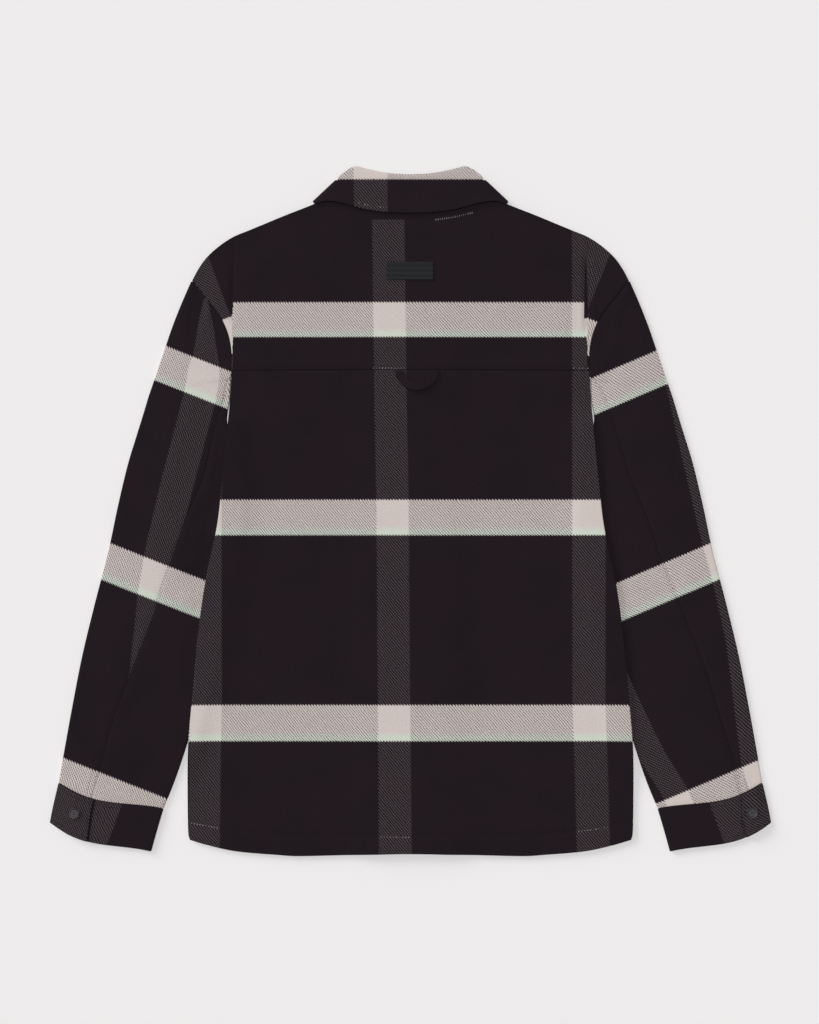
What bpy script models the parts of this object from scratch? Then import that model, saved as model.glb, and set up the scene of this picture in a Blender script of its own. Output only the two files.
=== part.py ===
# A check overshirt laid flat with its back up. Sizes in the tables are millimetres.
# "out" is the distance from the middle line, "down" the distance below the back neck seam.
# The collar points to +Y, the wearer's right side is at +X, and the fronts lie on the ground.

from collections import namedtuple
from math import cos, pi, sin

import bmesh
import bpy
import numpy as np

# Driving dimensions: cloth thicknesses, the gap at a seam and the air between the layers
MM = 0.001
CLOTH = 1.8
STIFFENED = 2.2
LABEL_CLOTH = 0.8
LOOP_CLOTH = 1.4
SEAM = 0.3
LAYER_GAP = 1.0
AIR = 3.0
ARMHOLE_AIR = 0.4
FULL_STACK = 5.2
EDGE_SHARE = 0.22
SHOULDER_SHARE = 0.3
HEM_SLOPE = 34

# How far the buttons, the collar and the sleeves hold up what lies on them, and where
HALF_BAND = 17.5
BAND_RAISED = 2.3
BAND_SLOPE = (38, 80)
LAP_SLOPE = (37.5, 72.5)
LAP_STARTS = (40, 95)
COLLAR_RAISED = 2.5
COLLAR_REACH = (134, 160)
COLLAR_SLOPE = (1.0, 1.3)
SLEEVE_RAISED = 5.9
SLEEVE_SLOPE = (42, 6)
SLEEVE_STARTS = (222, 250)
SLEEVE_ENDS = (606, 680)

# Levels of the middle of the cloth, radii of folds, and the collar's and cuffs' own sizes
COLLAR_BACK_LEVEL = 8.7
STAND_BACK_LEVEL = 5.9
SLEEVE_FOLD = 1.2
SLEEVE_CROWN = 2.0
CUFF_FOLD = 1.5
COLLAR_OUTWARD = (0.72, -0.69)
CUFF_LAP = 20.0
BOW_SKEW = 1.5
HIGHEST_DOWN = -42.9
LOWEST_DOWN = 735.3
YOKE_COLUMNS = 26
BACK_COLUMNS = 26
FRONT_COLUMNS = 13

# Outline tables, each from the top of the garment to its bottom
Edge = namedtuple("Edge", "out down")
NECK_SEAM = [Edge(0, 3), Edge(35, 2.2), Edge(70, -1.5), Edge(88, -5), Edge(98, -6.5)]
SHOULDER = [
    Edge(98, -6.5),
    Edge(104, -3),
    Edge(112, 0.9),
    Edge(141.5, 12.4),
    Edge(166.7, 22.6),
    Edge(184, 29.7),
    Edge(199.6, 36.2),
    Edge(214.9, 46.0),
    Edge(230, 59.6),
    Edge(239.8, 73.3),
    Edge(246.6, 86.2),
]
ARMHOLE = [
    Edge(246.6, 86.2),
    Edge(243.7, 89),
    Edge(230, 105.7),
    Edge(219.5, 118.8),
    Edge(211.9, 131),
    Edge(205.2, 147.5),
    Edge(201.9, 166),
    Edge(202.1, 187),
]
BODY_SIDE = [
    Edge(202.2, 192),
    Edge(203.8, 221),
    Edge(205.6, 243),
    Edge(207.6, 266),
    Edge(212.2, 310),
    Edge(218.0, 362),
    Edge(231.0, 424),
    Edge(240.0, 488),
    Edge(245.2, 548),
    Edge(249.0, 588),
    Edge(251.0, 620),
    Edge(251.6, 660),
    Edge(251, 706),
    Edge(249, 717),
]
HEM = [
    Edge(249, 717),
    Edge(227.7, 723.2),
    Edge(196, 730),
    Edge(150, 734),
    Edge(125, 735.3),
    Edge(68, 734),
    Edge(0, 732.6),
]
YOKE_SEAM = [Edge(202.1, 187), Edge(120, 186.6), Edge(42, 186.2), Edge(0, 186.2)]
FRONT_NECK = [Edge(0, 92), Edge(22, 89), Edge(64, 67), Edge(94, 28), Edge(98, -6.5)]

# A sleeve by cross sections from the top of the armhole to the cuff seam. seam_left, seam_right
# and under_seam are fractions of the section's width, from its inner end. The section bows down
# by as much as bow says.
SECTION_COLUMNS = "outer_out outer_down inner_out inner_down seam_left seam_right under_seam bow"
Section = namedtuple("Section", SECTION_COLUMNS, defaults=[0])
SLEEVE = [
    Section(248.6, 90.6, 244.1, 89.4, 0, 0, 0),
    Section(257.4, 111.0, 230.4, 106.1, 0, 0, 0),
    Section(264.2, 128.0, 219.9, 119.1, 0, 0, 0),
    Section(269.8, 143.0, 212.2, 131.2, 0, 0, 0),
    Section(276.6, 163.0, 205.5, 147.6, 0, 0, 0),
    Section(283.0, 182.0, 202.2, 166.0, 0, 0, 0),
    Section(291.2, 206.0, 202.5, 192.0, 0, 0, 0),
    Section(293.3, 212.0, 203.9, 199.0, 0.035, 0.05, 0.03),
    Section(295.8, 219.5, 204.5, 210.0, 0.045, 0.12, 0.035),
    Section(298.0, 227.0, 205.0, 221.0, 0.066, 0.164, 0.04),
    Section(303.5, 245.0, 208.2, 243.0, 0.12, 0.22, 0.10),
    Section(308.5, 261.0, 203.5, 266.0, 0.20, 0.30, 0.16),
    Section(318.5, 294.0, 200.2, 310.0, 0.28, 0.393, 0.2),
    Section(329.5, 340.0, 201.0, 362.0, 0.406, 0.508, 0.2),
    Section(340.5, 392.0, 208.0, 420.0, 0.481, 0.576, 0.2),
    Section(355.5, 450.0, 220.0, 485.0, 0.528, 0.65, 0.2),
    Section(370.0, 510.0, 235.0, 548.0, 0.589, 0.715, 0.2),
    Section(381.5, 569.0, 253.0, 608.0, 0.646, 0.755, 0.2),
    Section(390.0, 616.0, 267.5, 651.0, 0.657, 0.784, 0.2, 3.0),
    Section(396.3, 652.6, 280.0, 681.2, 0.662, 0.791, 0.2, 8.2),
]
FIRST_TUBE = 7
CUFF = [
    Section(396.4, 652.95, 280.1, 681.55, 0.662, 0.791, 0, 8.2),
    Section(400.0, 668.0, 285.0, 698.0, 0.664, 0.795, 0, 8.4),
    Section(403.4, 683.0, 289.6, 714.0, 0.666, 0.80, 0, 8.6),
    Section(406.3, 698.0, 294.0, 730.0, 0.668, 0.805, 0, 8.8),
]

# The collar by sections from the middle of the back round to the collar point. The fold is where
# the leaf turns over the stand, edge is the leaf's lower edge and seam is the stand's lower edge.
CollarRow = namedtuple("CollarRow", "fold_out fold_down edge_out edge_down seam_out seam_down")
COLLAR_BACK = [
    CollarRow(0, -33.9, 0, 10.2, 0, 2.3),
    CollarRow(13, -34.4, 17, 9.9, 17, 2.2),
    CollarRow(26, -35.5, 34, 8.6, 34, 1.5),
    CollarRow(40, -38, 50, 6.2, 50, 0.3),
    CollarRow(52, -40.8, 64, 2.6, 64, -1.6),
    CollarRow(62, -42.9, 77, -0.8, 75, -3.8),
    CollarRow(72, -37.9, 88, -2.9, 84, -5.9),
    CollarRow(79, -31.7, 97.5, -2.9, 90, -7.6),
    CollarRow(80.5, -25.5, 107.1, -0.7, 94, -9.0),
]
COLLAR_FRONT = [
    CollarRow(80.5, -25.0, 107.3, 0.3, 93.5, -8.5),
    CollarRow(75, -12, 110, 20, 90, 14),
    CollarRow(63, 5, 111, 48, 80, 38),
    CollarRow(48, 22, 106, 76, 64, 57),
    CollarRow(34, 40, 95, 104, 45, 72),
    CollarRow(21, 56, 72, 130, 25, 83),
]

# Folds pressed into the upper layer, each a straight trough
Fold = namedtuple("Fold", "out_from down_from out_to down_to width depth")
FOLDS_LEFT = [Fold(201, 62, 201, 128, 12, 1.3), Fold(236, 92, 241, 130, 13, 1.2)]
FOLDS_RIGHT = [Fold(199, 60, 200, 140, 13, 1.6)]

# Sewn-on pieces
LABEL_AT = Edge(-0.6, 75)
LABEL_SIZE = (52, 20)
LOOP_AT = Edge(7.3, 187.3)
LOOP_REACH = (24.5, 22.8)
LOOP_WIDTH = 9.5
LOOP_LIFT = 1.6
CUFF_BUTTON_AT = {-1: Edge(379, 686.5), 1: Edge(385, 686.0)}
CUFF_BUTTON = (12.6, 2.4)
FRONT_BUTTON = (15.0, 2.0)
BUTTON_PROFILE = [(0.78, 0), (1, 0.3), (1, 0.75), (0.9, 1), (0.74, 0.95), (0.62, 0.7)]
HOLE_RADIUS = 0.6
HOLE_SPREAD = 1.5
FRONT_BUTTONS = 6
FIRST_BUTTON_DOWN = 130
BUTTON_STEP = 100

DARK = (0.017, 0.012, 0.016)
LIGHT = (0.42, 0.39, 0.38)
TRIM = (0.012, 0.011, 0.014)
HORN = (0.02, 0.018, 0.018)


# Numbers
def ramp(value, start, end):
    part = np.clip((value - start) / (end - start), 0, 1)
    return part * part * (3 - 2 * part)


def curve(points, steps):
    """Points at the given fractions of a smooth curve through the known points."""
    known = np.array(points, float)
    padded = [2 * known[0] - known[1], *known, 2 * known[-1] - known[-2]]
    fine = []
    for a, b, c, d in zip(padded, padded[1:], padded[2:], padded[3:]):
        for part in np.linspace(0, 1, 16, endpoint=False):
            cubic = (3 * b - a - 3 * c + d) * part**3
            fine.append(0.5 * (2 * b + (c - a) * part + (2 * a - 5 * b + 4 * c - d) * part**2 + cubic))
    fine = np.array([*fine, known[-1]])
    walked = fractions(fine)
    return np.stack([np.interp(steps, walked, fine[:, k]) for k in range(fine.shape[1])], axis=1)


def fractions(points):
    """How far along its line each point lies, from 0 to 1."""
    walked = np.cumsum(np.linalg.norm(np.diff(np.array(points, float), axis=0), axis=1))
    return np.concatenate([[0], walked / walked[-1]])


def mirrored(points):
    """The curve carried on across the middle line to the other side."""
    return [Edge(-p.out, p.down) for p in reversed(points)] + [p for p in points if p.out > 0]


def flipped(points, side):
    return [Edge(side * p.out, p.down) for p in points]


def patch(lower, upper, first, last, columns):
    """A grid of (out, down) inside four edges, with a row for each point of last, and each row's fraction."""
    steps = fractions(last)
    start = np.array(first, float) if len(first) == len(last) else curve(first, steps)
    end = np.array(last, float)
    spread = np.linspace(0, 1, columns + 1)
    low, high = curve(lower, spread), curve(upper, spread)
    across, along = spread[None, :, None], steps[:, None, None]
    ruled = (1 - along) * low[None] + along * high[None]
    ruled = ruled + (1 - across) * start[:, None] + across * end[:, None]
    corners = (1 - along) * ((1 - across) * low[0] + across * low[-1])
    corners = corners + along * ((1 - across) * high[0] + across * high[-1])
    return ruled - corners, steps[:, None]


# How high each layer lies
def sleeve_lift(out, down):
    inner = np.interp(down, [row.inner_down for row in SLEEVE], [row.inner_out for row in SLEEVE])
    over = ramp(np.abs(out), inner - SLEEVE_SLOPE[0], inner - SLEEVE_SLOPE[1])
    return SLEEVE_RAISED * over * ramp(down, *SLEEVE_STARTS) * (1 - ramp(down, *SLEEVE_ENDS))


def ground_lift(out, down):
    """How far the band's buttons, the collar and the sleeves hold the fronts off the ground."""
    band = BAND_RAISED * (1 - ramp(np.abs(out), *BAND_SLOPE))
    reach = np.hypot(out / COLLAR_REACH[0], down / COLLAR_REACH[1])
    collar = COLLAR_RAISED * (1 - ramp(reach, *COLLAR_SLOPE))
    return (band**4 + collar**4 + sleeve_lift(out, down) ** 4) ** 0.25


def front_lap(out):
    """How far the band lifts the front that laps over it."""
    return (CLOTH + SEAM) * (1 - ramp(out, *LAP_SLOPE))


def folds(out, down, table):
    """How far the folds in the table press the cloth down."""
    total = np.zeros_like(out)
    for fold in table:
        start = np.array([fold.out_from, fold.down_from])
        way = np.array([fold.out_to, fold.down_to]) - start
        part = np.clip(((out - start[0]) * way[0] + (down - start[1]) * way[1]) / (way @ way), 0, 1)
        distance = np.hypot(out - start[0] - part * way[0], down - start[1] - part * way[1])
        total = total + fold.depth * np.exp(-((distance / fold.width) ** 2)) * np.sin(pi * (0.1 + 0.8 * part))
    return total


def body_folds(out, down):
    right = folds(np.abs(out), down, FOLDS_RIGHT)
    left = folds(np.abs(out), down, FOLDS_LEFT)
    return np.where(out > 0, right, left)


def back_height(out, down, crown):
    """The middle of the upper layer's cloth, crown being 1 well inside a panel and 0 at its edge."""
    stack = ground_lift(out, down) + CLOTH + front_lap(np.abs(out)) * ramp(down, *LAP_STARTS)
    air = AIR * crown * np.clip(1 - (stack - CLOTH) / FULL_STACK, 0, 1)
    return stack + LAYER_GAP + CLOTH / 2 + air - np.minimum(body_folds(out, down), air)


# Turning grids into closed cloth
def finish(name, colour, roughness):
    material = bpy.data.materials.new(name)
    material.use_nodes = True
    shader = material.node_tree.nodes["Principled BSDF"]
    shader.inputs["Base Color"].default_value = (*colour, 1)
    shader.inputs["Roughness"].default_value = roughness
    shader.inputs["Metallic"].default_value = 0
    return material


def place(out, down, height):
    middle = (HIGHEST_DOWN + LOWEST_DOWN) / 2
    return np.stack([out, middle - down, height], axis=-1)


def add_object(name, body, material):
    bmesh.ops.recalc_face_normals(body, faces=body.faces)
    mesh = bpy.data.meshes.new(name)
    body.to_mesh(mesh)
    body.free()
    mesh.materials.append(material)
    mesh.shade_smooth()
    mesh.set_sharp_from_angle(angle=0.7)
    made = bpy.data.objects.new(name, mesh)
    bpy.context.collection.objects.link(made)
    return made


def cloth(name, middle, thickness, material):
    """A closed wall of the given thickness around a grid of its middle surface."""
    along, across = np.gradient(middle, axis=0), np.gradient(middle, axis=1)
    normal = np.cross(across, along)
    normal /= np.linalg.norm(normal, axis=2, keepdims=True)
    rows, columns = middle.shape[:2]
    body = bmesh.new()
    sides = []
    for sign in (0.5, -0.5):
        points = (middle + sign * thickness * normal) * MM
        sides.append([[body.verts.new(point) for point in row] for row in points])
    for side in sides:
        for j in range(rows - 1):
            for i in range(columns - 1):
                body.faces.new((side[j][i], side[j][i + 1], side[j + 1][i + 1], side[j + 1][i]))
    rim = [(0, i) for i in range(columns)] + [(j, columns - 1) for j in range(1, rows)]
    rim += [(rows - 1, i) for i in range(columns - 2, -1, -1)] + [(j, 0) for j in range(rows - 2, 0, -1)]
    for here, there in zip(rim, rim[1:] + rim[:1]):
        corners = [sides[0][here[0]][here[1]], sides[0][there[0]][there[1]]]
        corners += [sides[1][there[0]][there[1]], sides[1][here[0]][here[1]]]
        body.faces.new(corners)
    return add_object(name, body, material)


# Body
def inward_share(columns):
    """0 at both ends of a row and 1 in its middle."""
    return 1 - np.abs(np.linspace(-1, 1, columns + 1))[None, :]


def back_yoke(material):
    outer = ARMHOLE[::-1]
    upper = mirrored(NECK_SEAM + SHOULDER[1:])
    grid, along = patch(mirrored(YOKE_SEAM[::-1]), upper, flipped(outer, -1), outer, YOKE_COLUMNS)
    inward = ramp(inward_share(YOKE_COLUMNS), 0, EDGE_SHARE)
    crown = (ARMHOLE_AIR + (1 - ARMHOLE_AIR) * inward) * ramp(1 - along, 0, SHOULDER_SHARE)
    out, down = grid[..., 0], grid[..., 1]
    return cloth("back_yoke", place(out, down, back_height(out, down, crown)), CLOTH, material)


def back_panel(material):
    seam = [Edge(p.out, p.down + SEAM) for p in YOKE_SEAM[::-1]]
    outer = (seam[-1:] + BODY_SIDE)[::-1]
    grid, _ = patch(mirrored(HEM[::-1]), mirrored(seam), flipped(outer, -1), outer, BACK_COLUMNS)
    out, down = grid[..., 0], grid[..., 1]
    at_armhole = ARMHOLE_AIR * (1 - ramp(down, BODY_SIDE[0].down, BODY_SIDE[2].down))
    crown = at_armhole + (1 - at_armhole) * ramp(inward_share(BACK_COLUMNS), 0, EDGE_SHARE)
    crown = crown * ramp(HEM[-1].down - down, 0, HEM_SLOPE)
    return cloth("back_panel", place(out, down, back_height(out, down, crown)), CLOTH, material)


def front(name, side, lap, material):
    """One front. lap is 1 on the one whose edge lies on the band, and 0 on the one sewn to it."""
    edge = -HALF_BAND if lap else HALF_BAND + SEAM
    bottom = Edge(edge, HEM[-1].down)
    neck = [Edge(edge, FRONT_NECK[0].down - SEAM)] + [p for p in FRONT_NECK if p.out > HALF_BAND + 1]
    upper = flipped(neck + SHOULDER[1:], side)
    outer = flipped((ARMHOLE[:-1] + BODY_SIDE)[::-1], side)
    lower = flipped([bottom] + [p for p in HEM[::-1] if p.out > HALF_BAND + 1], side)
    inner = flipped([bottom, neck[0]], side)
    grid, _ = patch(lower, upper, inner, outer, FRONT_COLUMNS)
    out, down = grid[..., 0], grid[..., 1]
    height = ground_lift(out, down) + lap * front_lap(out) + CLOTH / 2
    return cloth(name, place(out, down, height), CLOTH, material)


def front_band(material):
    out, down = np.meshgrid(
        np.linspace(-HALF_BAND, HALF_BAND, 4),
        np.linspace(HEM[-1].down, FRONT_NECK[0].down, 19),
    )
    return cloth("front_band", place(out, down, ground_lift(out, down) + CLOTH / 2), CLOTH, material)


# Sleeves
def section_point(row, fraction):
    outer = np.array([row.outer_out, row.outer_down])
    inner = np.array([row.inner_out, row.inner_down])
    way = outer - inner
    downward = np.array([-way[1], way[0]]) / section_width(row)
    return inner + fraction * way + row.bow * sin(pi * np.clip(fraction, 0, 1) ** BOW_SKEW) * downward


def upper_height(index, fraction):
    """The middle of the sleeve's upper layer at a fraction of the section's width."""
    fold = CLOTH / 2 + 2 * SLEEVE_FOLD
    if index < FIRST_TUBE:
        seam = fold + AIR * ARMHOLE_AIR * ramp(index, 0, 2.2)
        return seam + (fold - seam) * fraction + 0.8 * SLEEVE_CROWN * sin(pi * fraction)
    return fold + SLEEVE_CROWN * sin(pi * fraction)


def section_width(row):
    return np.hypot(row.outer_out - row.inner_out, row.outer_down - row.inner_down)


def turned(row, end, radius, thickness):
    """Points round the fold at one end of a section, from its upper layer to its lower one."""
    width, steps = section_width(row), 4
    sign = 1 if end else -1
    around = []
    for step in range(steps + 1):
        angle = pi * step / steps
        fraction = end - sign * radius * (1 - sin(angle)) / width
        around.append((fraction, thickness / 2 + radius * (1 + cos(angle))))
    return around


def sleeve_panel(name, side, outer, material):
    seam_name = "seam_left" if side < 0 else "seam_right"
    rows = []
    for index, row in enumerate(SLEEVE):
        if index < FIRST_TUBE and not outer:
            continue
        width = section_width(row)
        seam, under = getattr(row, seam_name), row.under_seam
        radius = min(SLEEVE_FOLD, width / 4)
        bend = radius / width
        if outer:
            top = [(f, upper_height(index, f)) for f in np.linspace(seam + SEAM / width, 1 - bend, 8)]
            bottom = [(f, CLOTH / 2) for f in np.linspace(1 - bend, under + SEAM / width, 6)]
            around = top[:-1] + turned(row, 1, radius, CLOTH) + bottom[1:]
        else:
            least = 2.2 * bend
            top = [(f, upper_height(index, f)) for f in np.linspace(max(seam, least), bend, 6)]
            bottom = [(f, CLOTH / 2) for f in np.linspace(bend, max(under, least), 4)]
            around = top[:-1] + turned(row, 0, radius, CLOTH) + bottom[1:]
        rows.append([(*section_point(row, fraction), height) for fraction, height in around])
    grid = np.array(rows)
    pressed = folds(grid[..., 0], grid[..., 1], FOLDS_LEFT if side < 0 else FOLDS_RIGHT)
    room = np.clip(grid[..., 2] - (CLOTH / 2 + 2 * SLEEVE_FOLD), 0, None)
    height = grid[..., 2] - np.minimum(pressed, room)
    return cloth(name, place(side * grid[..., 0], grid[..., 1], height), CLOTH, material)


# Cuffs
def cuff(name, side, material):
    """One strip from the button end, round the outer and inner folds, to the end under the lap."""
    upper = STIFFENED / 2 + 2 * CUFF_FOLD
    rows = []
    for row in CUFF:
        slit = row.seam_left if side < 0 else row.seam_right
        width = section_width(row)
        bend, lap = CUFF_FOLD / width, CUFF_LAP / width
        outward = np.linspace(slit, 1 - bend, 6)
        rise = (STIFFENED + SEAM) * (1 - ramp(outward, min(slit + lap, 0.93), 1 - bend))
        around = list(zip(outward, upper + rise))[:-1]
        around += turned(row, 1, CUFF_FOLD, STIFFENED)
        around += [(f, STIFFENED / 2) for f in np.linspace(1 - bend, bend, 8)[1:-1]]
        around += turned(row, 0, CUFF_FOLD, STIFFENED)[::-1]
        around += [(f, upper) for f in np.linspace(bend, min(slit + 0.8 * lap, 0.93), 8)[1:]]
        rows.append([(*section_point(row, fraction), height) for fraction, height in around])
    grid = np.array(rows)
    return cloth(name, place(side * grid[..., 0], grid[..., 1], grid[..., 2]), STIFFENED, material)


# Collar
def collar_rows(rows, fold, edge, depth):
    """For each section of one side, points from one named edge to the other."""
    half = []
    for row in rows:
        upper = np.array([getattr(row, fold + "_out"), getattr(row, fold + "_down")])
        lower = np.array([getattr(row, edge + "_out"), getattr(row, edge + "_down")])
        half.append([upper + part * (lower - upper) for part in np.linspace(0, 1, depth)])
    return np.array(half)


def collar_piece(name, edges, back_level, front_level, depth, material):
    """A strip that lies on the neck at the back and turns under it to the front at both sides."""
    back = collar_rows(COLLAR_BACK, *edges, depth)
    fore = collar_rows(COLLAR_FRONT, *edges, depth)
    radius = (back_level - front_level) / 2
    side_point = (back[-1] + fore[0]) / 2
    half = [[(*point, back_level) for point in row] for row in back]
    for step in (1, 2, 3):
        angle = pi * step / 4
        outward = np.array(COLLAR_OUTWARD) * radius * sin(angle)
        half.append([(*(point + outward), front_level + radius * (1 + cos(angle))) for point in side_point])
    half += [[(*point, front_level) for point in row] for row in fore]
    half = np.array(half)
    other = half[::-1].copy()
    other[..., 0] *= -1
    grid = np.concatenate([other, half[1:]])
    return cloth(name, place(grid[..., 0], grid[..., 1], grid[..., 2]), CLOTH, material)


# Trim
def back_top(out, down):
    """The upper face of the back and yoke well inside their edges."""
    return back_height(out, down, np.ones_like(out)) + CLOTH / 2


def label(material):
    width, length = LABEL_SIZE
    out, down = np.meshgrid(
        LABEL_AT.out + np.linspace(-width / 2, width / 2, 9),
        LABEL_AT.down + np.linspace(length / 2, -length / 2, 3),
    )
    height = back_top(out, down) + SEAM + LABEL_CLOTH / 2
    return cloth("label", place(out, down, height), LABEL_CLOTH, material)


def hanging_loop(material):
    """A half-moon strip that comes out of the yoke seam and lies on the back panel."""
    inset, angle = np.meshgrid([0, LOOP_WIDTH / 2, LOOP_WIDTH], np.linspace(0, pi, 17))
    out = LOOP_AT.out + (LOOP_REACH[0] - inset) * np.cos(angle)
    down = LOOP_AT.down + (LOOP_REACH[1] - inset) * np.sin(angle)
    height = back_top(out, down) + SEAM + LOOP_CLOTH / 2 + LOOP_LIFT * np.sin(angle) ** 2
    return cloth("hanging_loop", place(out, down, height), LOOP_CLOTH, material)


def button(name, out, down, bottom, size, sides, material):
    """A turned button with a raised rim."""
    radius, thick = size[0] / 2, size[1]
    body = bmesh.new()
    rings = []
    x, y, z = place(np.array(out), np.array(down), np.array(bottom))
    for reach, rise in BUTTON_PROFILE:
        ring = []
        for step in range(sides):
            angle = 2 * pi * step / sides
            spot = (x + radius * reach * cos(angle), y + radius * reach * sin(angle), z + thick * rise)
            ring.append(body.verts.new([MM * value for value in spot]))
        rings.append(ring)
    for low, high in zip(rings, rings[1:]):
        for step in range(sides):
            after = (step + 1) % sides
            body.faces.new((low[step], low[after], high[after], high[step]))
    body.faces.new(rings[0])
    body.faces.new(rings[-1])
    return add_object(name, body, material)


def button_holes(target, out, down, bottom):
    """Four thread holes through a button."""
    x, y, z = place(np.array(out), np.array(down), np.array(bottom)) * MM
    for step in range(4):
        angle = pi / 4 + step * pi / 2
        spot = (x + HOLE_SPREAD * MM * cos(angle), y + HOLE_SPREAD * MM * sin(angle), z)
        bpy.ops.mesh.primitive_cylinder_add(vertices=8, radius=HOLE_RADIUS * MM, depth=10 * MM, location=spot)
        cutter = bpy.context.object
        cutter.name = f"{target.name}_hole_{step + 1}"
        cutter.display_type = "WIRE"
        cutter.hide_render = True
        cut = target.modifiers.new(f"hole {step + 1}", "BOOLEAN")
        cut.operation = "DIFFERENCE"
        cut.object = cutter


def cuff_button(name, side, material):
    at = CUFF_BUTTON_AT[side]
    top = 2 * STIFFENED + 2 * CUFF_FOLD + SEAM
    made = button(name, side * at.out, at.down, top + SEAM, CUFF_BUTTON, 24, material)
    button_holes(made, side * at.out, at.down, top + SEAM)


def main():
    for old in list(bpy.data.objects):
        bpy.data.objects.remove(old, do_unlink=True)
    twill = finish("brushed check twill", DARK, 0.9)
    band_cloth = finish("light check band", LIGHT, 0.9)
    woven_trim = finish("woven label tape", TRIM, 0.6)
    horn = finish("horn-look button", HORN, 0.35)
    back_yoke(twill)
    back_panel(twill)
    front("front_left", -1, 0, twill)
    front("front_right", 1, 1, twill)
    front_band(twill)
    for side, word in ((-1, "left"), (1, "right")):
        sleeve_panel(f"sleeve_{word}_outer", side, True, twill)
        sleeve_panel(f"sleeve_{word}_inner", side, False, twill)
        cuff(f"cuff_{word}", side, twill)
        cuff_button(f"cuff_button_{word}", side, horn)
    collar_piece("collar_fall", ("fold", "edge"), COLLAR_BACK_LEVEL, CLOTH / 2, 4, band_cloth)
    collar_piece("collar_stand", ("fold", "seam"), STAND_BACK_LEVEL, CLOTH * 1.5 + SEAM, 3, twill)
    hanging_loop(twill)
    label(woven_trim)
    for number in range(FRONT_BUTTONS):
        down = FIRST_BUTTON_DOWN + number * BUTTON_STEP
        button(f"front_button_{number + 1}", 0, down, 0, FRONT_BUTTON, 16, horn)


main()
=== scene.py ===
import bpy
import math
import numpy as np
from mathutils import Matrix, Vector
from mathutils.bvhtree import BVHTree


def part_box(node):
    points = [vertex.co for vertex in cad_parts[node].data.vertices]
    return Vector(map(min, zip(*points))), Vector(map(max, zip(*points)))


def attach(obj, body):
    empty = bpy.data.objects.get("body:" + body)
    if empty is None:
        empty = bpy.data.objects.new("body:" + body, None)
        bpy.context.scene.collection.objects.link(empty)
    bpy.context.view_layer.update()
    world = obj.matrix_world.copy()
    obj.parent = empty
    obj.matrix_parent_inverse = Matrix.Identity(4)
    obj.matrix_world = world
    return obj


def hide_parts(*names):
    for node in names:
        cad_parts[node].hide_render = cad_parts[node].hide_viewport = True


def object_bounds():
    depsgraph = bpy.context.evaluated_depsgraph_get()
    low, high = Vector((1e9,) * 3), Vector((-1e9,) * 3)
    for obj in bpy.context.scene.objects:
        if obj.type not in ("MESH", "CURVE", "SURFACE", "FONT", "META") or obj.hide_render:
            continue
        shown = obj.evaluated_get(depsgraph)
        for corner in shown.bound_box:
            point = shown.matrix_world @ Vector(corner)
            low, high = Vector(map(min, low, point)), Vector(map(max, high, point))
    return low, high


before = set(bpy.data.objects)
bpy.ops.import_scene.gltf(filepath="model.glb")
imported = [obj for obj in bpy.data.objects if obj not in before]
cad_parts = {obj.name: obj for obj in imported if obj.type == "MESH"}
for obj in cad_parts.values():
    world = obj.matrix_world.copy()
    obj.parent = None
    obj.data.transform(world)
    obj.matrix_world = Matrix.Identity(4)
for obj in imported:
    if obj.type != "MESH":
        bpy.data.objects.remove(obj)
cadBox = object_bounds()
print("frame loaded, box", cadBox[1] - cadBox[0])

# A check overshirt laid on its fronts, so its back is up. Tables are in millimetres: "out" from the
# middle line, "down" below the back neck seam. The wearer's right is at +X and the collar at +Y.
cloth = {
    "thick": 1.8, "cuffThick": 2.2, "seamGap": 0.3, "layerGap": 1.0, "air": 3.0, "fullStack": 5.2,
    "armholeAir": 0.4, "edgeShare": 0.22, "collarTop": -42.9, "rimSteps": 5, "rimShare": 0.45,
    "repeatAcross": 220.0, "repeatDown": 226.0,
}
thick, seamGap = cloth["thick"], cloth["seamGap"]
topY = cadBox[1].y * 1000 + cloth["collarTop"]


# Numbers
def ramp(value, start, end):
    part = np.clip((value - start) / (end - start), 0, 1)
    return part * part * (3 - 2 * part)


def asPoints(*parts):
    return np.stack(np.broadcast_arrays(*parts), axis=-1)


def unit(vectors):
    return vectors / np.linalg.norm(vectors, axis=-1, keepdims=True)


def smoothRows(table, steps):  # a smooth curve through the table's rows, steps new rows for each
    known = np.array(table, float)
    padded = np.vstack([2 * known[0] - known[1], known, 2 * known[-1] - known[-2]])
    rows = []
    for a, b, c, d in zip(padded, padded[1:], padded[2:], padded[3:]):
        for part in np.arange(steps) / steps:
            cubic = (3 * b - a - 3 * c + d) * part**3
            rows.append(0.5 * (2 * b + (c - a) * part + (2 * a - 5 * b + 4 * c - d) * part**2 + cubic))
    return np.array([*rows, known[-1]])


def along(points, shares):  # points at these shares of a smooth line's length
    fine = smoothRows(points, 16)
    length = np.cumsum(np.linalg.norm(np.diff(fine, axis=0), axis=1))
    part = np.concatenate([[0], length / length[-1]])
    return asPoints(*(np.interp(shares, part, column) for column in fine.T))


def between(start, end, count):
    return start + (end - start) * np.linspace(0, 1, count)[None, :]


def spread(count, squeeze=0.5):  # 0 to 1, closer together towards both ends
    even = np.linspace(0, 1, count + 1)
    return even - squeeze * np.sin(2 * np.pi * even) / (2 * np.pi)


def flip(points, side):
    return [(side * out, down) for out, down in points]


def bothSides(points):
    return flip(points[::-1], -1) + [p for p in points if p[0] > 0]


def place(out, down, height):
    return asPoints(out, topY - down, height)


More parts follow.
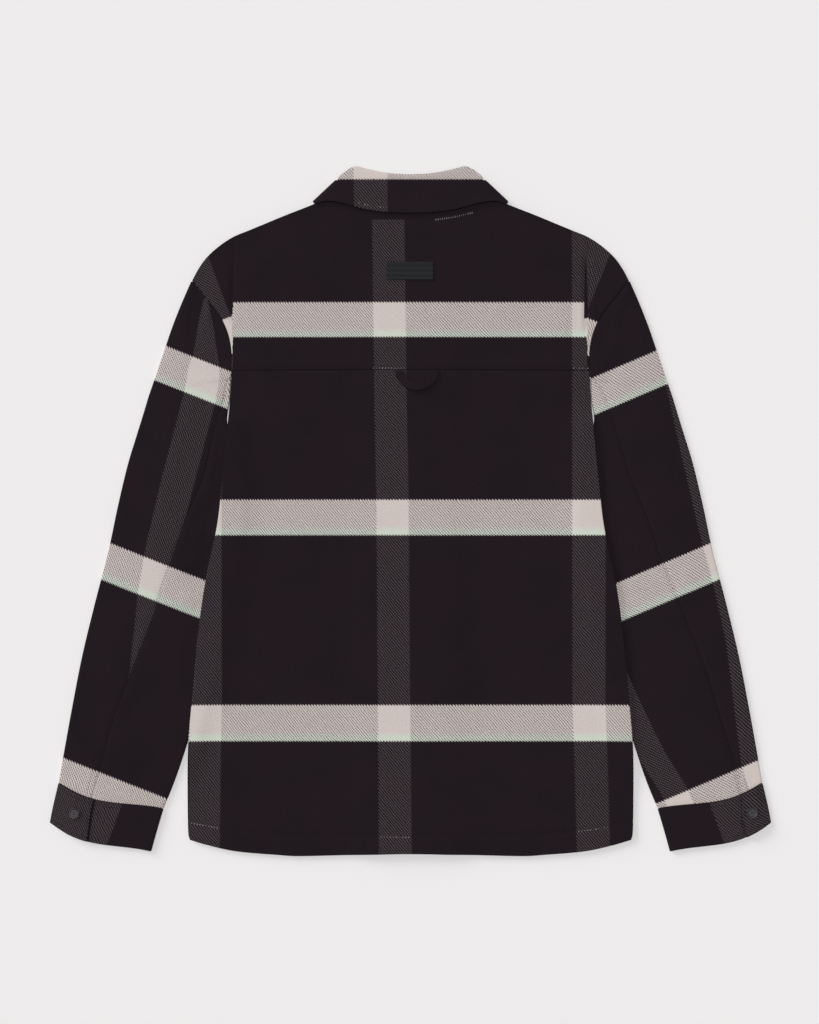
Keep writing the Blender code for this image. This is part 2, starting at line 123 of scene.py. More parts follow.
def patch(lower, upper, first, last, across, up):  # (out, down) inside four edges, rows from lower to upper
    low, high = along(lower, across), along(upper, across)
    start, end = along(first, up), along(last, up)
    x, y = across[None, :, None], up[:, None, None]
    ruled = (1 - y) * low[None] + y * high[None] + (1 - x) * start[:, None] + x * end[:, None]
    corners = (1 - y) * ((1 - x) * low[0] + x * low[-1]) + y * ((1 - x) * high[0] + x * high[-1])
    grid = ruled - corners
    return grid[..., 0], grid[..., 1]


# Each crease runs from one spot to another and has a width and a depth, a negative depth being a ridge
def creaseDepth(out, down, table):
    total = np.zeros_like(out)
    for fromOut, fromDown, toOut, toDown, width, depth in table:
        wayOut, wayDown = toOut - fromOut, toDown - fromDown
        part = ((out - fromOut) * wayOut + (down - fromDown) * wayDown) / (wayOut**2 + wayDown**2)
        part = np.clip(part, 0, 1)
        away = np.hypot(out - fromOut - part * wayOut, down - fromDown - part * wayDown)
        total = total + depth * np.exp(-((away / width) ** 2)) * np.sin(np.pi * (0.1 + 0.8 * part))
    return total


def drift(out, down, size):  # the slight unevenness of cloth that lies by its own weight
    waves = ((61, 97, 0.3, 1), (-43, 83, 1.9, 1), (74, -57, 4.0, 1), (19, 32, 2.2, 0.35),
             (-23, 27, 5.1, 0.35))
    total = sum(weight * np.sin(out / a + down / b + phase) for a, b, phase, weight in waves)
    return size * total / 3


# Finishes
def colour(code):  # sRGB hex to linear
    parts = [int(code[k : k + 2], 16) / 255 for k in (1, 3, 5)]
    return [p / 12.92 if p <= 0.04045 else ((p + 0.055) / 1.055) ** 2.4 for p in parts] + [1]


def setSocket(socket, value):
    socket.default_value = colour(value) if isinstance(value, str) else value


def addNode(tree, kind, *values, named=None, **settings):  # values go to the inputs in use, in their order
    node = tree.nodes.new(kind)
    for name, value in settings.items():
        setattr(node, name, value)
    pairs = list(zip([socket for socket in node.inputs if socket.enabled], values))
    pairs += [(node.inputs[name], value) for name, value in (named or {}).items()]
    for socket, value in pairs:
        if isinstance(value, bpy.types.Node):
            value = next(given for given in value.outputs if given.enabled)
        if isinstance(value, bpy.types.NodeSocket):
            tree.links.new(value, socket)
        else:
            setSocket(socket, value)
    return node


def newFinish(name, shaderLook):
    material = bpy.data.materials.new(name)
    material.use_nodes = True
    shader = material.node_tree.nodes["Principled BSDF"]
    for socket, value in shaderLook.items():
        setSocket(shader.inputs[socket], value)
    return material, material.node_tree, shader


def surface(tree, shader, shade, strength, bumpDepth, relief):  # the shader's colour and its bump
    bump = addNode(tree, "ShaderNodeBump",
                   named={"Strength": strength, "Distance": bumpDepth, "Height": relief})
    tree.links.new(next(given for given in shade.outputs if given.enabled), shader.inputs["Base Color"])
    tree.links.new(bump.outputs[0], shader.inputs["Normal"])


# Heavy brushed twill, a weft-faced weave whose raised nap hides most of the warp. The eye gets a deep
# matt ground, pale weft bands full of dark specks in slanting lines, and grey warp stripes of pale ones.
# Its lines and threads are drawn about three times as coarse as the real ones, so that they show.
checkTwill = {
    "ground": "#161219", "groundWarm": "#211419", "cream": "#CFC4BF", "mint": "#CBD3C6", "speck": "#686063",
    "warpPale": "#5E5659", "warpBase": "#241D22",
    "bandHalf": 0.0875, "stripeHalf": 0.084, "mintShare": 0.045, "mintFade": 0.4, "slant": 50.0, "pitch": 2.5,
    "thread": 2.1, "threadShare": 0.5, "serration": 0.0042, "edgeBlur": 0.0016, "bareAndPaintedShadeFade": (0.1, 0.5),
    "fibre": 0.8, "fibreShare": 3.9, "nap": 7.0, "napShift": 0.9, "napRelief": 2.0, "patch": 55.0,
    "overWeft": (1.6, 3.1), "overStripe": (1.8, 3.6), "bump": 0.00018,
    "shader": {"Roughness": 0.92, "Sheen Weight": 0.07, "Sheen Roughness": 0.55, "Sheen Tint": "#8C8088",
               "Specular IOR Level": 0.1},
}


def twillFinish(look):
    material, tree, shader = newFinish("brushed check twill", look["shader"])
    check, weave, plain = (addNode(tree, "ShaderNodeUVMap", uv_map=name + "Map")
                           for name in ("check", "weave", "plain"))
    fibre, nap, patchy = (addNode(tree, "ShaderNodeTexNoise", weave, 1000 / look[grain], detail)
                          for grain, detail in (("fibre", 2), ("nap", 3), ("patch", 2)))

    # Slanting lines of warp threads, broken into single dots and roughened by the nap
    slant = math.radians(look["slant"])
    lineWay = np.array((math.sin(slant), -math.cos(slant), 0))
    threadWay = np.array((math.cos(slant), math.sin(slant), 0))
    lines, threads = (addNode(tree, "ShaderNodeVectorMath", weave, 1000 * way / size, operation="DOT_PRODUCT")
                      for way, size in ((lineWay, look["pitch"]), (threadWay, look["thread"])))
    wobble = addNode(tree, "ShaderNodeMath", nap, look["napShift"], lines, operation="MULTIPLY_ADD")
    turns = [addNode(tree, "ShaderNodeMath", part, 2 * math.pi, operation="MULTIPLY")
             for part in (wobble, threads)]
    lineWave, threadWave = (addNode(tree, "ShaderNodeMath", turn, operation="SINE") for turn in turns)
    dotted = addNode(tree, "ShaderNodeMath", threadWave, look["threadShare"], lineWave,
                     operation="MULTIPLY_ADD")
    rough = addNode(tree, "ShaderNodeMath", fibre, look["fibreShare"], dotted, operation="MULTIPLY_ADD")
    overWeft = addNode(tree, "ShaderNodeMapRange", rough, *look["overWeft"])
    overStripe = addNode(tree, "ShaderNodeMapRange", rough, *look["overStripe"])

    # Where the stripes (X) and bands (Y) lie, their edges stepped by the slanting lines
    steps = addNode(tree, "ShaderNodeMath", wobble, 0.5, operation="PINGPONG")
    # Where the check is left out as dark ground: bare ground below the collar beside the neck, painted shade
    # in the right armhole crease and painted shadow beside the cuff slit
    bareAndPaintedShadeParts = addNode(tree, "ShaderNodeSeparateXYZ", plain)
    checked = addNode(tree, "ShaderNodeMapRange", bareAndPaintedShadeParts, *look["bareAndPaintedShadeFade"], 1.0, 0.0)
    repeat = addNode(tree, "ShaderNodeSeparateXYZ", check).outputs
    inside, centred = {}, {}
    for name, half in (("X", look["stripeHalf"]), ("Y", look["bandHalf"])):
        shifted = addNode(tree, "ShaderNodeMath", repeat[name], 0.5, operation="ADD")
        turned = addNode(tree, "ShaderNodeMath", shifted, operation="FRACT")
        centred[name] = addNode(tree, "ShaderNodeMath", turned, 0.5, operation="SUBTRACT")
        away = addNode(tree, "ShaderNodeMath", centred[name], operation="ABSOLUTE")
        stepped = addNode(tree, "ShaderNodeMath", steps, 4 * look["serration"], away,
                          operation="MULTIPLY_ADD")
        edge, blur = half + look["serration"], look["edgeBlur"]
        within = addNode(tree, "ShaderNodeMapRange", stepped, edge - blur, edge + blur, 1.0, 0.0)
        inside[name] = addNode(tree, "ShaderNodeMath", within, checked, operation="MULTIPLY")
    lowEdge = addNode(tree, "ShaderNodeMapRange", centred["Y"], look["bandHalf"] - look["mintShare"],
                      look["bandHalf"] - look["mintFade"] * look["mintShare"])

    # The weft's colours with the warp's specks over them, dark cloth and pale cloth apart
    ground = addNode(tree, "ShaderNodeMix", patchy, look["ground"], look["groundWarm"], data_type="RGBA")
    warpInDark = addNode(tree, "ShaderNodeMix", inside["X"], look["warpBase"], look["warpPale"],
                         data_type="RGBA")
    dark = addNode(tree, "ShaderNodeMix", overStripe, ground, warpInDark, data_type="RGBA")
    weftPale = addNode(tree, "ShaderNodeMix", lowEdge, look["cream"], look["mint"], data_type="RGBA")
    warpInPale = addNode(tree, "ShaderNodeMix", inside["X"], look["speck"], weftPale, data_type="RGBA")
    pale = addNode(tree, "ShaderNodeMix", overWeft, weftPale, warpInPale, data_type="RGBA")
    whole = addNode(tree, "ShaderNodeMix", inside["Y"], dark, pale, data_type="RGBA")
    fuzzy = addNode(tree, "ShaderNodeMath", nap, look["napRelief"], rough, operation="MULTIPLY_ADD")
    surface(tree, shader, whole, 0.5, look["bump"], fuzzy)
    return material


# Woven polyester tape with soft ribs, smoother than the cloth round it, so it catches a dull light
labelTape = {
    "yarn": "#1D1F21", "ribPaintedHighlight": "#2A2D30", "rib": 5.655, "ribWander": 0.6, "yarnScale": 2200.0,
    "bump": 0.00008,
    "shader": {"Roughness": 0.78, "Specular IOR Level": 0.1, "Sheen Weight": 0.03},
}


def tapeFinish(look):
    material, tree, shader = newFinish("ribbed woven tape", look["shader"])
    weave = addNode(tree, "ShaderNodeUVMap", uv_map="weaveMap")
    waveScale = 2 * math.pi * 1000 / look["rib"] / 20  # a wave texture has 20 / (2 pi) waves for each unit
    ribs = addNode(tree, "ShaderNodeTexWave", weave, waveScale, look["ribWander"], 1.0, bands_direction="Y")
    yarn = addNode(tree, "ShaderNodeTexNoise", weave, look["yarnScale"], 2)
    # painted highlight: the rib crests, raised by the bump, are coloured lighter, mixed with the yarn's
    # random tone
    ribHighlightAndYarn = addNode(tree, "ShaderNodeMath", ribs.outputs["Fac"], yarn, operation="MULTIPLY")
    shade = addNode(tree, "ShaderNodeMix", ribHighlightAndYarn, look["yarn"], look["ribPaintedHighlight"], data_type="RGBA")
    surface(tree, shader, shade, 0.5, look["bump"], ribHighlightAndYarn)
    return material


# Horn-look polyester, cast and polished to a satin shine, with cloudy streaks right through it
hornLook = {
    "body": "#282428", "cloud": "#423B3F", "cloudSize": 5.0, "cloudFrom": (0.45, 0.7), "swirl": 1.8,
    "scratch": 0.4, "satin": (0.38, 0.55), "bump": 0.00003,
    "shader": {"IOR": 1.54, "Specular IOR Level": 0.2},
}


def hornFinish(look):
    material, tree, shader = newFinish("horn-look polyester", look["shader"])
    spot = addNode(tree, "ShaderNodeTexCoord").outputs["Object"]
    streaks = addNode(tree, "ShaderNodeTexNoise", spot, 1000 / look["cloudSize"], 3,
                      named={"Distortion": look["swirl"]})
    wear = addNode(tree, "ShaderNodeTexNoise", spot, 1000 / look["scratch"], 2)
    cloud = addNode(tree, "ShaderNodeMapRange", streaks, *look["cloudFrom"])
    shade = addNode(tree, "ShaderNodeMix", cloud, look["body"], look["cloud"], data_type="RGBA")
    satin = addNode(tree, "ShaderNodeMapRange", wear, 0.0, 1.0, *look["satin"])
    tree.links.new(satin.outputs[0], shader.inputs["Roughness"])
    surface(tree, shader, shade, 0.3, look["bump"], wear)
    return material


# Spun polyester sewing thread, slightly glossier than the cloth it sinks into
threadLook = {"plies": 0.625, "shader": {"Roughness": 0.65, "Specular IOR Level": 0.15, "Sheen Weight": 0.05}}


def threadFinish(name, light, dark):
    material, tree, shader = newFinish(name, threadLook["shader"])
    spot = addNode(tree, "ShaderNodeTexCoord").outputs["Object"]
    plies = addNode(tree, "ShaderNodeTexNoise", spot, 1000 / threadLook["plies"], 2)
    shade = addNode(tree, "ShaderNodeMix", plies, dark, light, data_type="RGBA")
    tree.links.new(shade.outputs[2], shader.inputs["Base Color"])
    return material


twill = twillFinish(checkTwill)
tape = tapeFinish(labelTape)
horn = hornFinish(hornLook)
darkThread = threadFinish("dark sewing thread", "#1E191D", "#0F0C0F")
paleThread = threadFinish("pale sewing thread", "#A9A0A0", "#6A6265")
print("finishes made")


# Closed thin cloth round a grid of its middle surface, its rim rounded, with a map of the check in repeats,
# one of the weave in metres and one of how far inside a part left as dark ground it lies, that dark ground
# being painted shade at the armhole crease and the cuff slit
pieces = {}


def addObject(name, data):
    made = bpy.data.objects.new(name, data)
    bpy.context.collection.objects.link(made)
    return made


def sewnShell(name, middle, check, weave, plain=None, wall=thick, finish=twill):
    rows, columns = middle.shape[:2]
    normal = unit(np.cross(np.gradient(middle, axis=1), np.gradient(middle, axis=0)))
    rim = [(0, i) for i in range(columns)] + [(j, columns - 1) for j in range(1, rows)]
    rim += [(rows - 1, i) for i in range(columns - 2, -1, -1)] + [(j, 0) for j in range(rows - 2, 0, -1)]
    rimRow, rimColumn = np.array(rim).T
    edge, edgeNormal = middle[rimRow, rimColumn], normal[rimRow, rimColumn]
    outward = edge - middle[np.clip(rimRow, 1, rows - 2), np.clip(rimColumn, 1, columns - 2)]
    half, reach = wall / 2, np.linalg.norm(outward, axis=1, keepdims=True)
    inset = np.minimum(half, cloth["rimShare"] * reach) * outward / reach
    shrunk = middle.copy()
    shrunk[rimRow, rimColumn] = edge - inset
    points = [(shrunk + half * normal).reshape(-1, 3), (shrunk - half * normal).reshape(-1, 3)]
    spots = [np.arange(rows * columns)] * 2
    loops = [rimRow * columns + rimColumn]
    for step in range(1, cloth["rimSteps"]):
        angle = math.pi * step / cloth["rimSteps"]
        points.append(edge - (1 - math.sin(angle)) * inset + half * math.cos(angle) * edgeNormal)
        spots.append(loops[0])
        loops.append(2 * rows * columns + (step - 1) * len(rim) + np.arange(len(rim)))
    loops.append(loops[0] + rows * columns)
    points, spots = np.concatenate(points) / 1000, np.concatenate(spots)
    corner = (np.arange(rows - 1)[:, None] * columns + np.arange(columns - 1)[None]).ravel()
    upper = asPoints(corner, corner + 1, corner + columns + 1, corner + columns)
    faces = [upper, upper[:, ::-1] + rows * columns]
    for first, second in zip(loops, loops[1:]):
        faces.append(asPoints(np.roll(first, -1), first, second, np.roll(second, -1)))
    faces = np.concatenate(faces)
    a, b, c, d = (points[faces[:, k]] for k in range(4))
    if (a * (np.cross(b, c) + np.cross(c, d))).sum() < 0:  # a shell whose faces point inwards
        faces = faces[:, ::-1]
    mesh = bpy.data.meshes.new(name)
    mesh.from_pydata(points.tolist(), [], faces.tolist())
    maps = {"checkMap": check, "weaveMap": weave}
    if plain is not None:
        maps["plainMap"] = asPoints(plain, 0)
    for title, values in maps.items():
        layer = mesh.uv_layers.new(name=title)
        layer.data.foreach_set("uv", values.reshape(-1, 2)[spots][faces.ravel()].astype(np.float32).ravel())
    mesh.materials.append(finish)
    mesh.shade_smooth()
    pieces[name] = addObject(name, mesh)
    print(name, len(mesh.polygons) * 2, "triangles")


# Outlines of the body, the same ones that the solids have
neckSeam = [(0, 3), (35, 2.2), (70, -1.5), (88, -5), (98, -6.5)]
shoulder = [(98, -6.5), (104, -3), (112, 0.9), (141.5, 12.4), (166.7, 22.6), (184, 29.7), (199.6, 36.2),
            (214.9, 46.0), (230, 59.6), (239.8, 73.3), (246.6, 86.2)]
armhole = [(246.6, 86.2), (243.7, 89), (230, 105.7), (219.5, 118.8), (211.9, 131), (205.2, 147.5),
           (201.9, 166), (202.1, 187)]
bodySide = [(202.2, 192), (203.8, 221), (205.6, 243), (207.6, 266), (212.2, 310), (218.0, 362), (231.0, 424),
            (240.0, 488), (245.2, 548), (249.0, 588), (251.0, 620), (251.6, 660), (251, 706), (249, 717)]
hem = [(249, 717), (227.7, 723.2), (196, 730), (150, 734), (125, 735.3), (68, 734), (0, 732.6)]
yokeSeam = [(202.1, 187), (120, 186.6), (42, 186.2), (0, 186.2)]
frontNeck = [(0, 92), (22, 89), (64, 67), (94, 28), (98, -6.5)]

# The sleeve by sections: outer end, inner end, left and right back seam and under seam as shares of its
# width, and how far the section bows down
sleeveSections = [
    (246.9, 86.9, 246.0, 87.0, 0, 0, 0, 0),
    (257.4, 111.0, 230.4, 106.1, 0, 0, 0, 0),
    (264.2, 128.0, 219.9, 119.1, 0, 0, 0, 0),
    (269.8, 143.0, 212.2, 131.2, 0, 0, 0, 0),
    (276.6, 163.0, 205.5, 147.6, 0, 0, 0, 0),
    (283.0, 182.0, 202.2, 166.0, 0, 0, 0, 0),
    (291.2, 206.0, 202.5, 192.0, 0, 0, 0, 0),
    (293.3, 212.0, 203.9, 199.0, 0.035, 0.05, 0.03, 0),
    (295.8, 219.5, 204.5, 210.0, 0.045, 0.12, 0.035, 0),
    (298.0, 227.0, 205.0, 221.0, 0.066, 0.164, 0.04, 0),
    (303.5, 245.0, 208.2, 243.0, 0.12, 0.22, 0.10, 0),
    (308.5, 261.0, 203.5, 266.0, 0.20, 0.30, 0.16, 0),
    (318.5, 294.0, 200.2, 310.0, 0.28, 0.393, 0.2, 0),
    (329.5, 340.0, 201.0, 362.0, 0.406, 0.508, 0.2, 0),
    (340.5, 392.0, 208.0, 420.0, 0.481, 0.576, 0.2, 0),
    (355.5, 450.0, 220.0, 485.0, 0.528, 0.65, 0.2, 0),
    (370.0, 510.0, 235.0, 548.0, 0.589, 0.715, 0.2, 0),
    (381.5, 569.0, 253.0, 608.0, 0.646, 0.755, 0.2, 0),
    (390.0, 616.0, 267.5, 651.0, 0.657, 0.784, 0.2, 3.0),
    (396.3, 652.6, 280.0, 681.2, 0.662, 0.791, 0.2, 8.2),
]

# What holds the upper layers off the ground: the band's buttons, the collar and the sleeves
lift = {
    "band": 2.3, "bandSlope": (38, 80), "lapSlope": (37.5, 72.5), "lapStarts": (40, 95),
    "collar": 2.5, "collarReach": (134, 160), "collarSlope": (1.0, 1.3),
    "sleeve": 5.9, "sleeveSlope": (42, 6), "sleeveStarts": (222, 250), "sleeveEnds": (606, 680),
}


def groundLift(out, down):
    table = np.array(sleeveSections)
    inner = np.interp(down, table[:, 3], table[:, 2])
    low, high = lift["sleeveSlope"]
    sleeve = lift["sleeve"] * ramp(np.abs(out), inner - low, inner - high)
    sleeve = sleeve * ramp(down, *lift["sleeveStarts"]) * (1 - ramp(down, *lift["sleeveEnds"]))
    band = lift["band"] * (1 - ramp(np.abs(out), *lift["bandSlope"]))
    reach = np.hypot(out / lift["collarReach"][0], down / lift["collarReach"][1])
    collar = lift["collar"] * (1 - ramp(reach, *lift["collarSlope"]))
    return (band**4 + collar**4 + sleeve**4) ** 0.25


def frontLap(out):
    return (thick + seamGap) * (1 - ramp(out, *lift["lapSlope"]))


# Creases of the back, on each side as the cloth shows them: drag lines at the armholes, slack above the
# sleeves, long soft rolls down the panel and short ones where the hem's stitching pulls
backLook = {
    "columns": 132, "rows": 124, "yokeColumns": 176, "yokeRows": 60, "shoulderShare": 0.3, "hemSlope": 34,
    "drift": 0.32, "seamDip": 0.45, "seamWidth": 2.4, "allowance": 0.35, "allowanceEnds": (7, 11),
    "yokeStitch": 1.5, "yokeEdgeDip": 0.6, "pucker": 0.35, "puckerLengths": (2.3, 9.7), "hemRaise": 0.45,
    "hemTurn": (-1, 3),
    "hemStitch": ((0, 139, 207, 242, 252), (713.5, 712.8, 705, 699, 697)),
    "creases": [
        (-201, 62, -201, 128, 12, 1.3), (-236, 92, -241, 130, 13, 1.2), (199, 60, 200, 140, 13, 1.6),
        (-200.5, 70, -201, 134, 2.1, 3.2), (198.2, 56, 198.4, 142, 2.6, 3.8),
        (-206.5, 74, -206, 124, 3.6, -0.7), (-194.5, 72, -195, 130, 3.6, -0.6),
        (205.5, 62, 204.5, 132, 3.8, -0.8), (193.5, 62, 193, 138, 3.8, -0.7),
        (-196, 178, -150, 246, 15, 0.7), (-186, 172, -118, 204, 13, -0.4), (197, 184, 158, 262, 14, 0.8),
        (189, 176, 128, 214, 15, -0.45), (-168, 300, -181, 452, 21, 0.55), (-140, 330, -149, 520, 26, -0.4),
        (176, 318, 187, 500, 22, 0.5), (150, 420, 141, 610, 30, -0.35), (-96, 470, -84, 640, 34, 0.35),
        (88, 246, 104, 404, 33, 0.3), (-60, 214, -74, 330, 30, 0.3), (-196, 560, -150, 604, 17, 0.6),
        (186, 596, 130, 640, 19, 0.5), (-210, 640, -168, 668, 12, 0.45), (-118, 668, -112, 712, 9, 0.5),
        (-38, 676, -41, 714, 11, 0.4), (49, 662, 54, 713, 10, 0.45), (121, 672, 118, 712, 9, 0.55),
        (203, 652, 199, 704, 12, 0.5), (-72, 690, -70, 713, 6, 0.4), (90, 694, 93, 713, 6, 0.35),
        (-150, 26, -104, 60, 16, 0.5), (149, 24, 112, 66, 17, 0.5), (-88, 60, -30, 74, 22, 0.25),
    ],
}


def besideSeam(distance, out, look):  # the cloth sinks at a seam and puckers a little along it
    short, long = look["puckerLengths"]
    pucker = 1 + look["pucker"] * np.sin(out / short) * np.sin(out / long + 1)
    return look["seamDip"] * pucker * np.exp(-((distance / look["seamWidth"]) ** 2))


def hemStitchDown(out):
    return np.interp(np.abs(out), *backLook["hemStitch"])


def backHeight(out, down, crown):
    stack = groundLift(out, down) + thick + frontLap(np.abs(out)) * ramp(down, *lift["lapStarts"])
    air = cloth["air"] * crown * np.clip(1 - (stack - thick) / cloth["fullStack"], 0, 1)
    pressed = creaseDepth(out, down, backLook["creases"]) + drift(out, down, backLook["drift"])
    return stack + cloth["layerGap"] + thick / 2 + air - np.minimum(pressed, air)


def backTop(out, down):  # the upper face of the back and yoke well inside their edges
    return backHeight(out, down, np.ones_like(out)) + thick / 2


# Where the body's stripes and bands run, and the turn of the cloth beyond the two armhole creases
bodyCheck = {
    "down": (23.7, 220, 332, 559, 605, 723),
    "left": (-230.5, -230.5, -230.5, -230.5, -231.5, -233.3),
    "middle": (-26.0, -23.2, -20.9, -19.0, -18.6, -17.5),
    "right": (201.1, 201.1, 201.1, 201.1, 202.8, 206.2),
    "bands": (130.0, 352.6, 584.8),
    "turns": ((-1, 200.6, 105.1, 20.6, -3.0, -14.0), (1, 199.5, 64.4, -22.0, 0.0, -13.0)),
    # painted shade: the rows and edges between which the check is left out, so the right armhole crease shows
    # dark
    "crease": ((58, 129), (196.0, 195.0), (198.6, 201.4)),
    "neckDark": ((-62, -43, -6, 25.4, 69.5, 80), (12, 17.5, 17.5, 16.4, 8.5, 4)),
}


def fromBands(value, bands):  # 0, 1, 2 at the bands' middles, and on at the same rate outside them
    low = (value - bands[0]) / (bands[1] - bands[0])
    high = 1 + (value - bands[1]) / (bands[2] - bands[1])
    return np.where(value < bands[1], low, high)


def asWeave(s, t):
    return asPoints(s * cloth["repeatAcross"], t * cloth["repeatDown"]) / 1000


def bodyMaps(out, down, turned=False):
    if turned:
        for side, atOut, atDown, degrees, aside, slip in bodyCheck["turns"]:
            angle = math.radians(degrees)
            fromOut, fromDown = out - side * atOut, down - atDown
            newOut = side * atOut + fromOut * math.cos(angle) - fromDown * math.sin(angle) + aside
            newDown = atDown + fromOut * math.sin(angle) + fromDown * math.cos(angle) + slip
            beyond = side * out > atOut
            out, down = np.where(beyond, newOut, out), np.where(beyond, newDown, down)
    left, middle, right = (np.interp(down, bodyCheck["down"], bodyCheck[word])
                           for word in ("left", "middle", "right"))
    s = (out - middle) / np.where(out < middle, middle - left, right - middle)
    t = fromBands(down, bodyCheck["bands"])
    return asPoints(s, t), asWeave(s, t)


def yokeBareAndPaintedShade(out, down):  # how far inside the dark ground: left bare below the collar beside the neck, and painted shade at the right armhole crease
    rows, start, end = bodyCheck["crease"]
    folded = np.minimum(out - np.interp(down, rows, start), np.interp(down, rows, end) - out)
    folded = np.minimum(folded, np.minimum(down - rows[0], rows[1] - down))
    return np.maximum(folded, np.interp(out, *bodyCheck["neckDark"]) - down)


def inwardShare(across):
    return 1 - np.abs(2 * across - 1)[None, :]


def makeYoke():
    across, up = spread(backLook["yokeColumns"]), spread(backLook["yokeRows"], 0.6)
    outer = armhole[::-1]
    out, down = patch(bothSides(yokeSeam[::-1]), bothSides(neckSeam + shoulder[1:]), flip(outer, -1), outer,
                      across, up)
    inward = ramp(inwardShare(across), 0, cloth["edgeShare"])
    crown = cloth["armholeAir"] + (1 - cloth["armholeAir"]) * inward
    crown = crown * ramp(1 - up[:, None], 0, backLook["shoulderShare"])
    height = backHeight(out, down, crown)
    aboveSeam = yokeSeam[-1][1] - down
    height += backLook["allowance"] * (1 - ramp(aboveSeam, *backLook["allowanceEnds"])) * crown
    height -= besideSeam(aboveSeam - backLook["yokeStitch"], out, backLook)
    sewnShell("yokeCloth", place(out, down, height), *bodyMaps(out, down, True), yokeBareAndPaintedShade(out, down))


def makeBack():
    across, up = spread(backLook["columns"]), spread(backLook["rows"], 0.6)
    seam = [(out, down + seamGap) for out, down in yokeSeam[::-1]]
    outer = (seam[-1:] + bodySide)[::-1]
    out, down = patch(bothSides(hem[::-1]), bothSides(seam), flip(outer, -1), outer, across, up)
    atArmhole = cloth["armholeAir"] * (1 - ramp(down, bodySide[0][1], bodySide[2][1]))
    crown = atArmhole + (1 - atArmhole) * ramp(inwardShare(across), 0, cloth["edgeShare"])
    crown = crown * ramp(hem[-1][1] - down, 0, backLook["hemSlope"])
    height = backHeight(out, down, crown)
    belowStitch = down - hemStitchDown(out)
    height += backLook["hemRaise"] * ramp(belowStitch, *backLook["hemTurn"])
    height -= besideSeam(belowStitch, out, backLook)
    height -= backLook["yokeEdgeDip"] * besideSeam(down - yokeSeam[-1][1], out, backLook)
    sewnShell("backCloth", place(out, down, height), *bodyMaps(out, down))


makeYoke()
makeBack()

# The fronts lie on the ground. The left one carries the button band, and the right one's edge lies on it.
frontLook = {"columns": 62, "rows": 128, "halfBand": 17.5, "bandColumns": 12, "bandRows": 120}


def makeFront(name, side, laps):
    edge = -frontLook["halfBand"] if laps else frontLook["halfBand"] + seamGap
    bottom, clear = (edge, hem[-1][1]), frontLook["halfBand"] + 1
    neck = [(edge, frontNeck[0][1] - seamGap)] + [p for p in frontNeck if p[0] > clear]
    upper = flip(neck + shoulder[1:], side)
    outer = flip((armhole[:-1] + bodySide)[::-1], side)
    lower = flip([bottom] + [p for p in hem[::-1] if p[0] > clear], side)
    inner = flip([bottom, neck[0]], side)
    out, down = patch(lower, upper, inner, outer, spread(frontLook["columns"]), spread(frontLook["rows"]))
    height = groundLift(out, down) + laps * frontLap(out) + thick / 2
    sides = np.array(armhole + bodySide)
    fromSide = side * 2 * np.interp(down, sides[:, 1], sides[:, 0]) - out
    sewnShell(name, place(out, down, height), *bodyMaps(fromSide, down))


def makeBand():
    half = frontLook["halfBand"]
    out, down = np.meshgrid(half * (2 * spread(frontLook["bandColumns"]) - 1),
                            np.linspace(hem[-1][1], frontNeck[0][1], frontLook["bandRows"]))
    s, t = 0.5 + out / cloth["repeatAcross"], fromBands(down, bodyCheck["bands"])
    middle = place(out, down, groundLift(out, down) + thick / 2)
    sewnShell("buttonBandCloth", middle, asPoints(s, t), asWeave(s, t))


makeFront("leftFrontCloth", -1, 0)
makeFront("rightFrontCloth", 1, 1)
makeBand()

